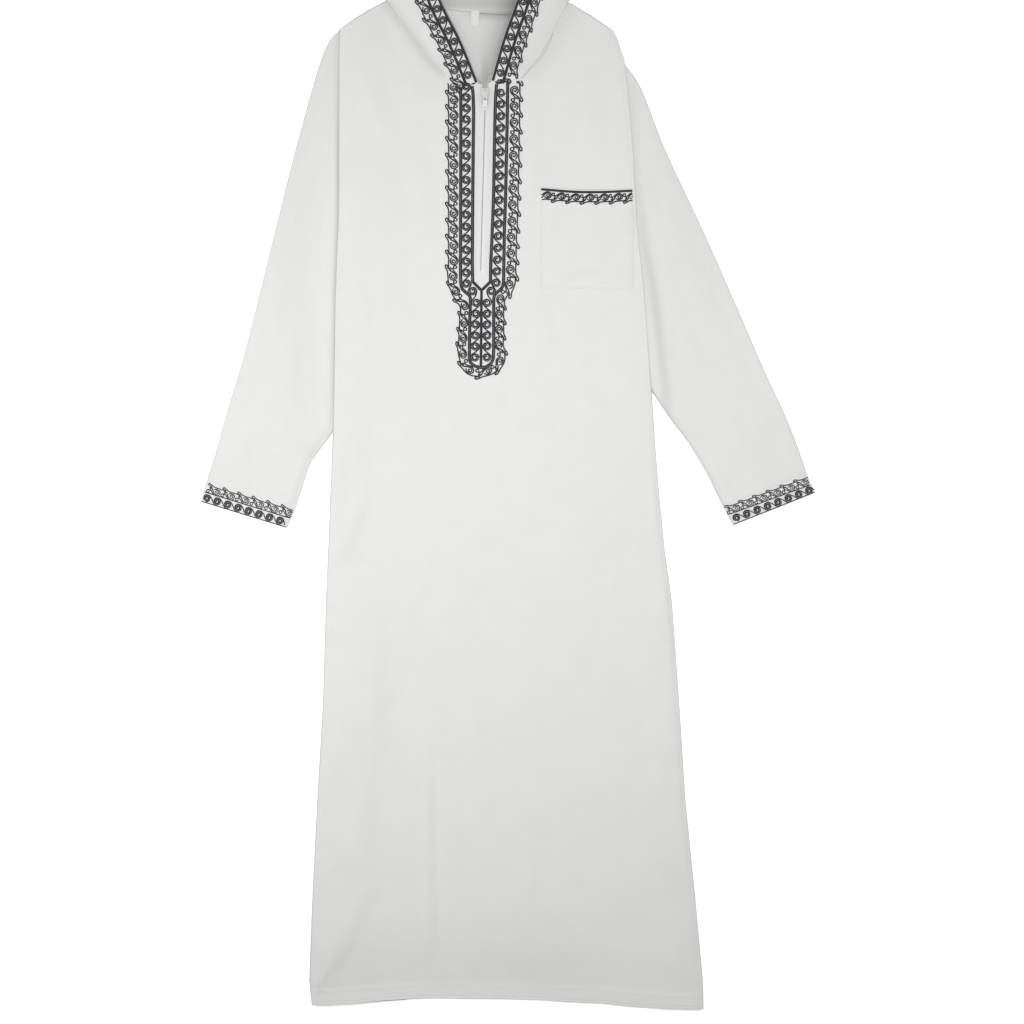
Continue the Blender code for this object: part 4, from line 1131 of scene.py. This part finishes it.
def placket_lines():
    """The bands beside the zip, their point below it and the edging round them: threads, scrolls, cords."""
    threads, scrolls = [], []
    cords = cord_pair(Run(from_photo(*PLACKET_EDGE), -1, 6))
    point, foot, end_scroll = from_photo(BAND_POINT, PLACKET_FOOT, END_SCROLL)
    for places in ZIP_SIDES:
        inner = from_photo(*places)
        beside_zip = Run(inner, 1, 4)
        cords += cord_pair(beside_zip, end=beside_zip.length + 2.5)
        cords += cord_pair(Run((inner[-1], point), 1), gap=2.0)
        cords.append([inner[-1], point])
    cords += cord_pair(Run((point, foot), 1), gap=1.5)
    cords.append(from_photo(*LEFT_END))
    cords += [curve(from_photo(*places)) for places in RIGHT_END_CORDS]
    cords += framed([spiral(3.9, 1.3, 1.4)], end_scroll, (1, 0), 1)
    for rows, hand in ((LEFT_SCROLLS, -1), (RIGHT_SCROLLS, 1)):
        links, discs = running_row(rows, hand)
        threads += links
        scrolls += discs
    centres = np.array(EDGING_SCROLLS)
    steps = 12
    path = curve(np.vstack([2 * centres[0] - centres[1], centres, 2 * centres[-1] - centres[-2]]), steps)
    stations = line_lengths(path)[steps:-1:steps]
    edging = Run(path, -1)
    for i, (station, pitch) in enumerate(zip(stations, np.gradient(stations))):
        inner, outer = (0.92, 0.8) if i in FOOT_UNITS else (1, 0.95)
        unit = edging_unit(np.clip(pitch / UNIT_PITCH, *UNIT_STRETCH), inner, outer)
        if i == 0:
            unit = [line[line[:, 0] > -6] for line in unit[:3]]
        if i + 1 == len(stations):
            unit = [line[line[:, 0] < -8.5] for line in unit[1:4]]
        threads += edging.put(unit, station)
    return threads, scrolls, cords


def hood_lines(side):
    """A hood half's band: down from the crown on the left, up to it on the right, as the threads were laid.

    Its cords and units run on past the crown, and are cut at the seam.
    """
    edge = hood_opening(side, 60)
    crown = edge[-1][0]
    run = Run(edge[::-1] if side == "left" else edge, -1)
    if side == "left":
        start, end = -22.5, run.length - 1.0
        discs = np.arange(run.length - 16.3, 2, -17.0)[::-1]
        units = np.arange(run.length - 6.4, -12, -23.3)[::-1]
    else:
        start, end = 1.0, run.length + 22.5
        discs = np.arange(13.9, run.length - 2, 17.3)
        units = np.arange(28.8, run.length + 12, 23.1)
    cords = cord_pair(run, 2.3, 1.6, start, end) + cord_pair(run, 16.8, 1.8, start, end)
    offsets = np.full(len(discs), 9.5)
    threads, scrolls = running_row(run.place(discs, offsets), SIGN[side], 5.1, 1.3, (2.0, 1.4))
    for station in units:
        threads += run.put(edging_unit(0.98, 0.88, 0.82), station, 24.6)
    return [kept(lines, lambda x, y: SIGN[side] * (x - crown) > 0.9) for lines in (threads, scrolls, cords)]


# A cuff's band, from its left end to its right end: the middle cord's distance out at both ends, the first
# scroll and the pitch, the edging's first unit and its pitch, and the edging's distance out at both ends
CUFF_BAND = {
    "left": ((14.7, 14.7), 6.6, 15.3, 17.6, 21.2, (19.6, 21.0)),
    "right": ((16.4, 12.4), 8.0, 15.5, 13.0, 20.5, (21.0, 18.6)),
}
CUFF_SCROLLS, CUFF_UNITS = 8, 6


def cuff_run(side):
    outer, under = SLEEVE[side][-1][:2], SLEEVE[side][-1][2:]
    return Run((outer, under) if side == "left" else (under, outer), 1)


def cuff_lines(side):
    run = cuff_run(side)
    edge = run.length - 0.6
    middle, first_scroll, scroll_pitch, first_unit, unit_pitch, rise = CUFF_BAND[side]
    discs = first_scroll + scroll_pitch * np.arange(CUFF_SCROLLS)
    cords = [run.beside(0.9, 0.4, edge), run.place(np.linspace(-2, edge + 4, 40), np.linspace(*middle, 40))]
    offsets = np.linspace(*middle, CUFF_SCROLLS) / 2 + 0.1
    threads, scrolls = running_row(run.place(discs, offsets), -1, 5.0, 1.25, (2.1, 1.5))
    threads += run.put([curve(((0, 5.2), (4, 3.4), (7, -1.5), (8.6, -4.6)))], discs[-1], offsets[-1])
    for i, out in enumerate(np.linspace(*rise, CUFF_UNITS)):
        threads += run.put(edging_unit(0.9, 0.93, 0.7), first_unit + unit_pitch * i, out)
    return [], kept(threads + scrolls + cords, lambda x, y: on_sleeve(side, x, y)), []


def pocket_lines():
    shares = np.linspace(0, 1, 40)
    mouth = np.stack([POCKET_LEFT + shares * (POCKET_RIGHT - POCKET_LEFT), pocket_mouth(shares)], -1)
    run = Run(mouth, -1)
    band = [run.beside(out, 0.8, run.length - 0.8) for out in (2.2, 3.2, 4.2)]
    threads = []
    for station in 10.9 + 19.6 * np.arange(7):
        threads += run.put(edging_unit(0.875, 0.82, 0.77), station, 10.8)
    return kept(threads, lambda x, y: (x > POCKET_LEFT + 0.8) & (x < POCKET_RIGHT - 0.8)), band, []


def embroider(name, lines, level, material):
    """One embroidered piece: threads, finer threads of the scrolls and thicker cords joined in one mesh."""
    groups = zip(lines, (THREAD_WIDTH, FINE_WIDTH, CORD_WIDTH), (0.5, 0.4, 0.62))
    return thread_piece(name, groups, level, material)


def body_level(x, y):
    """The upper layer near the neck: the hood above the neck seam, the front below it."""
    x, y = np.asarray(x, float), np.asarray(y, float)
    hood = np.where(x < zip_line(y), hood_level("left", x, y), hood_level("right", x, y))
    return np.where(y > neck_seam_height(x, y), hood, front_level(x, y))


def stitch_row(corners, out=0.0, pitch=3.0, length=2.1):
    run = Run(corners, 1)
    starts = np.arange(0.5, run.length - length, pitch)
    return [run.place(np.linspace(s, s + length, 4), np.full(4, float(out))) for s in starts]


# Materials

def add_node(tree, kind, inputs, output=0, **settings):
    """Adds a shader node and gives one of its outputs; an input is a value or another node's output."""
    node = tree.nodes.new("ShaderNode" + kind)
    for name, value in settings.items():
        setattr(node, name, value)
    for key, value in inputs.items():
        if isinstance(value, bpy.types.NodeSocket):
            tree.links.new(value, node.inputs[key])
        else:
            node.inputs[key].default_value = value
    return node.outputs[output]


def maths(tree, operation, *values):
    return add_node(tree, "Math", dict(enumerate(values)), operation=operation)


def noise(tree, place, scale, detail=2.0, roughness=0.5, output=0):
    inputs = {"Vector": place, "Scale": scale, "Detail": detail, "Roughness": roughness}
    return add_node(tree, "TexNoise", inputs, output)


def bump(tree, height, depth, **others):
    """A bump of a depth in millimetres, over the bump that is given as Normal."""
    return add_node(tree, "Bump", {"Height": height, "Distance": depth * MM, **others})


def mixed_colour(tree, factor, dark, light):
    colours = [value if isinstance(value, bpy.types.NodeSocket) else (*value, 1) for value in (dark, light)]
    return add_node(tree, "Mix", {0: factor, 6: colours[0], 7: colours[1]}, 2, data_type="RGBA")


def weave_place(tree):
    """Where a point is in its cloth, or along and round its thread."""
    return add_node(tree, "Attribute", {}, "Vector", attribute_name="weave")


def axes(tree, place):
    return [add_node(tree, "SeparateXYZ", {0: place}, axis) for axis in (0, 1)]


def new_material(name, roughness, sheen=0.0, **others):
    """A material with its shader's own numbers set; in a number's name _ stands for a space."""
    material = bpy.data.materials.new(name)
    material.use_nodes = True
    shader = material.node_tree.nodes["Principled BSDF"]
    values = {"Roughness": roughness, "Specular_IOR_Level": 0.25, "Sheen_Weight": sheen, **others}
    for key, value in {"Sheen_Roughness": 0.5, **values}.items():
        shader.inputs[key.replace("_", " ")].default_value = value
    return material, material.node_tree, shader


def finish_material(tree, shader, colour, relief):
    tree.links.new(colour, shader.inputs["Base Color"])
    tree.links.new(relief, shader.inputs["Normal"])


def cloth_material(name, dark, light, pitch=0.62, weave_depth=0.06, sheen=0.12):
    """Plain-woven cotton: warp and weft bumps, a little slub, a faint unevenness of tone, and painted shade
    where the shade attribute is set.
    """
    material, tree, shader = new_material(name, 0.88, sheen)
    place = weave_place(tree)
    wobble = noise(tree, place, 0.22, output="Color")
    moved = add_node(tree, "VectorMath", {0: wobble, 1: place}, operation="ADD")
    angles = [maths(tree, "MULTIPLY", part, 2 * math.pi / pitch) for part in axes(tree, moved)]
    weave = maths(tree, "MULTIPLY", *[maths(tree, "SINE", angle) for angle in angles])
    low = bump(tree, noise(tree, place, 0.07, 4.0, 0.55), 0.3)
    middle = bump(tree, noise(tree, place, 0.9, 3.0, 0.6), 0.08, Normal=low)
    fine = bump(tree, weave, weave_depth, Normal=middle)
    colour = mixed_colour(tree, noise(tree, place, 0.03, 3.0), dark, light)
    # Painted shade: the shade attribute mixes the colour towards a darker copy of the cloth
    shade = add_node(tree, "Attribute", {}, "Fac", attribute_name="shade")
    shaded = mixed_colour(tree, shade, colour, [0.38 * part for part in light])
    finish_material(tree, shader, shaded, fine)
    return material


def thread_material(name, dark, light, twist=1.6, depth=0.12, roughness=0.62, sheen=0.25):
    """Twisted thread: slanting plies along each strand."""
    material, tree, shader = new_material(name, roughness, sheen)
    place = weave_place(tree)
    along_strand, round_strand = axes(tree, place)
    run = maths(tree, "MULTIPLY", along_strand, 2 * math.pi / twist)
    turn = maths(tree, "MULTIPLY", round_strand, 4 * math.pi)
    ply = maths(tree, "SINE", maths(tree, "ADD", run, turn))
    colour = mixed_colour(tree, noise(tree, place, 0.8), dark, light)
    finish_material(tree, shader, colour, bump(tree, ply, depth, Strength=0.8))
    return material


def tape_material(name, dark, light):
    """Herringbone zip tape."""
    material, tree, shader = new_material(name, 0.8, 0.1)
    place = weave_place(tree)
    across, down = axes(tree, place)
    slant = maths(tree, "ADD", down, maths(tree, "PINGPONG", across, 2.4))
    rib = maths(tree, "SINE", maths(tree, "MULTIPLY", slant, 2 * math.pi / 0.8))
    colour = mixed_colour(tree, noise(tree, place, 0.3), dark, light)
    finish_material(tree, shader, colour, bump(tree, rib, 0.1))
    return material


def lacquer_material(name, dark, light):
    """White lacquered die-cast metal: a smooth coat with slight unevenness."""
    coat = {"Specular_IOR_Level": 0.5, "Coat_Weight": 0.35, "Coat_Roughness": 0.2}
    material, tree, shader = new_material(name, 0.34, **coat)
    place = add_node(tree, "TexCoord", {}, "Object")
    colour = mixed_colour(tree, noise(tree, place, 260.0, 3.0), dark, light)
    finish_material(tree, shader, colour, bump(tree, noise(tree, place, 900.0), 0.05))
    return material


# The zip, the label and the sewing

TAPE_WIDTH = 14
TAPE_TOP = {"left": 1296, "right": 1303}
TAPE_SLANT = {"left": 12, "right": 3}
COIL_PITCH, COIL_LEVEL = 1.4, 2.2


def make_tape(side, material):
    """One zip tape: it lies under the front beside the slit."""
    sign = SIGN[side]
    share = np.linspace(0, 1, 7)
    low = ZIP_BOTTOM - TAPE_BELOW
    y = low + np.linspace(0, 1, 90)[:, None] * (TAPE_TOP[side] + TAPE_SLANT[side] * (share - 0.4) - low)
    inner = zip_line(y) + sign * (slit_half(y) + 0.1)
    outer = zip_line(y) + sign * TAPE_WIDTH
    x = inner + share * (outer - inner)
    z = 2.0 + 0.25 * bell(share, 0.12) + 0.5 * smoothstep(1284, TAPE_TOP[side], y) * share
    points, faces = flat_points(x, y, z), grid_faces(*x.shape)
    weave = flat_points(share * TAPE_WIDTH + np.zeros(x.shape), y, 0)
    name = "zip_tape_" + side
    return cloth_piece(name + "_woven", name, points, faces, material, weave, wall=0.7)


def coil_level(x, y):
    return np.full(np.shape(x), COIL_LEVEL)


def make_coil(side, material):
    """The coil's turns along a tape's inner edge."""
    start = ZIP_BOTTOM + 2 + (COIL_PITCH / 2 if side == "right" else 0)
    turn = ((-0.4, 0), (0.9, 0), (2.4, 0.5))
    lines = []
    for y in np.arange(start, TAPE_TOP[side] - 1.5, COIL_PITCH):
        edge = zip_line(y) + SIGN[side] * slit_half(y)
        lines.append(np.array([(edge + SIGN[side] * out, y + up) for out, up in turn]))
    groups = ((lines, 0.42, 0.42),)
    return thread_piece("zip_coil_" + side, groups, coil_level, material, spacing=0.7, rise=1.0)


def make_label(material):
    """A blank folded strip of satin sewn in at the back neck seam."""
    low, high = LABEL_CORNER, (-29.5, 1394.5)
    share, up = np.linspace(0, 1, 10), np.linspace(0, 1, 18)[:, None]
    x = low[0] + share * (high[0] - low[0]) + 0.5 * np.sin(2.2 * up)
    y = low[1] + up * (high[1] - low[1]) + np.zeros(x.shape)
    z = 1.35 + 0.35 * np.sin(math.pi * up) * (0.6 + 0.4 * share)
    points, faces = flat_points(x, y, z), grid_faces(*x.shape)
    return cloth_piece("neck_label", "neck_tag", points, faces, material, wall=0.5)


def make_sewing(material):
    """The rows of stitches on the front, the pocket, the cuffs and the hood."""
    xs = np.linspace(-258, 280, 80)
    hem = np.stack([xs, hem_height(xs)], -1)
    front = stitch_row(hem, 3.6) + stitch_row(hem, HEM_TURN - 2.0)
    ys = np.linspace(ZIP_BOTTOM - 4, SLIT_TOP - 3, 60)
    for side in SIDES:
        front += stitch_row(np.stack([zip_line(ys) + SIGN[side] * (slit_half(ys) + 6.6), ys], -1))
    patch = [(POCKET_LEFT + 2, POCKET_MOUTH[0] - 1), (POCKET_LEFT + 2, POCKET_BOTTOM + 2)]
    patch += [(POCKET_RIGHT - 2, POCKET_BOTTOM + 2), (POCKET_RIGHT - 2, POCKET_MOUTH[1] - 1)]
    sewn = {
        "hem_and_slit_stitches": (front, front_level),
        "pocket_stitches": (stitch_row(patch), pocket_level),
    }
    for side in SIDES:
        run = Run(hood_opening(side, 60), -SIGN[side])
        cuff = cuff_run(side)
        for name, row, level in (
            ("hood", run.beside(35.0, 2, run.length - 8), hood_level),
            ("cuff", cuff.beside(31.0, 2, cuff.length - 2), sleeve_level),
        ):
            sewn["%s_%s_stitches" % (name, side)] = (stitch_row(row), partial(level, side))
    return {
        name: thread_piece(name, ((rows, 0.26, 0.2),), level, material, spacing=0.7, sides=5)
        for name, (rows, level) in sewn.items()
    }


# The garment

cotton = cloth_material("white_cotton", (0.665, 0.662, 0.648), (0.70, 0.698, 0.685))
braid = thread_material("charcoal_thread", (0.016, 0.014, 0.021), (0.034, 0.030, 0.040))
sewing = thread_material("white_sewing_thread", (0.62, 0.615, 0.605), (0.68, 0.675, 0.665), 0.9, 0.05)
# The zip tape and coil are white, but get a darker grey here: painted shade for where they show in the slit
tape_cloth_in_painted_shade = tape_material("woven_tape", (0.46, 0.455, 0.45), (0.54, 0.535, 0.53))
coil_thread_in_painted_shade = thread_material("white_coil", (0.50, 0.50, 0.49), (0.58, 0.58, 0.57), 50.0, 0.01, 0.4, 0.0)
satin = cloth_material("satin_label", (0.62, 0.62, 0.61), (0.68, 0.68, 0.67), 0.3, 0.02, 0.3)
lacquer = lacquer_material("white_lacquer", (0.54, 0.54, 0.535), (0.61, 0.61, 0.605))

back = make_back(cotton)
front = make_front(cotton)
pocket = make_pocket(cotton)
sleeves = {side: make_sleeve(side, cotton) for side in SIDES}
hoods = {side: make_hood(side, cotton) for side in SIDES}
tapes = {side: make_tape(side, tape_cloth_in_painted_shade) for side in SIDES}
coils = {side: make_coil(side, coil_thread_in_painted_shade) for side in SIDES}
label = make_label(satin)

placket_braid = embroider("placket_embroidery", placket_lines(), body_level, braid)
pocket_braid = embroider("pocket_embroidery", pocket_lines(), pocket_level, braid)
hood_braid, cuff_braid = {}, {}
for side in SIDES:
    hood_braid[side] = embroider("hood_%s_embroidery" % side, hood_lines(side), body_level, braid)
    level = partial(sleeve_level, side)
    cuff_braid[side] = embroider("cuff_%s_embroidery" % side, cuff_lines(side), level, braid)
stitches = make_sewing(sewing)

for name in ("zip_slider", "zip_pull"):
    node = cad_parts[name]
    for slot in node.material_slots:
        slot.material = lacquer
    edge = node.modifiers.new("softened_edges", "BEVEL")
    edge.width = 0.3 * MM
    edge.segments = 2
    edge.limit_method = "ANGLE"

# Floor, light and camera

CAMERA_PLACE = (16.8, 691.6, 3388.0)
LENS, SENSOR = 85, 36


def add_floor():
    shape = bmesh.new()
    bmesh.ops.create_grid(shape, x_segments=8, y_segments=8, size=8)
    mesh = bpy.data.meshes.new("floor")
    shape.to_mesh(mesh)
    shape.free()
    floor = bpy.data.objects.new("floor", mesh)
    floor.location = (0, 0, -0.0002)
    bpy.context.scene.collection.objects.link(floor)
    glow = {"Emission_Color": (1, 1, 1, 1), "Emission_Strength": 0.32}
    material, tree, shader = new_material("pale_floor", 0.95, **glow)
    tone = noise(tree, add_node(tree, "TexCoord", {}, "Object"), 3.0)
    colour = mixed_colour(tree, tone, (0.90, 0.90, 0.90), (0.92, 0.92, 0.92))
    tree.links.new(colour, shader.inputs["Base Color"])
    mesh.materials.append(material)


def add_area_light(name, place, size, watts, aim):
    light = bpy.data.lights.new(name, "AREA")
    light.shape = "RECTANGLE"
    light.size, light.size_y = size
    light.energy = watts
    holder = bpy.data.objects.new(name, light)
    holder.location = place
    direction = np.array(place) - np.array(aim)
    flat = math.hypot(direction[0], direction[1])
    holder.rotation_euler = (math.atan2(flat, direction[2]), 0, math.atan2(direction[0], -direction[1]))
    holder.visible_camera = False
    bpy.context.scene.collection.objects.link(holder)


add_floor()
add_area_light("overhead_light", (-0.12, -0.06, 1.5), (0.5, 0.5), 16, (-0.12, -0.06, 0))
add_area_light("right_light", (1.7, 0.45, 0.75), (0.5, 0.9), 8, (0, 0.1, 0))
add_area_light("left_light", (-1.7, 0.05, 0.8), (0.5, 1.2), 10.5, (0, 0, 0))
add_area_light("hem_light", (0.0, -2.2, 0.6), (1.4, 0.4), 2, (0, -0.8, 0))

world = bpy.data.worlds.new("studio")
world.use_nodes = True
world.node_tree.nodes["Background"].inputs["Color"].default_value = (1, 1, 1, 1)
world.node_tree.nodes["Background"].inputs["Strength"].default_value = 0.38
bpy.context.scene.world = world
bpy.context.scene.view_settings.view_transform = "Standard"

lens = bpy.data.cameras.new("camera")
lens.lens = LENS
lens.sensor_width = SENSOR
lens.clip_end = 30
camera = bpy.data.objects.new("camera", lens)
camera.location = tuple((np.array(CAMERA_PLACE) + (SHIFT[0], SHIFT[1], 0)) * MM)
bpy.context.scene.collection.objects.link(camera)
bpy.context.scene.camera = camera

bpy.context.view_layer.update()
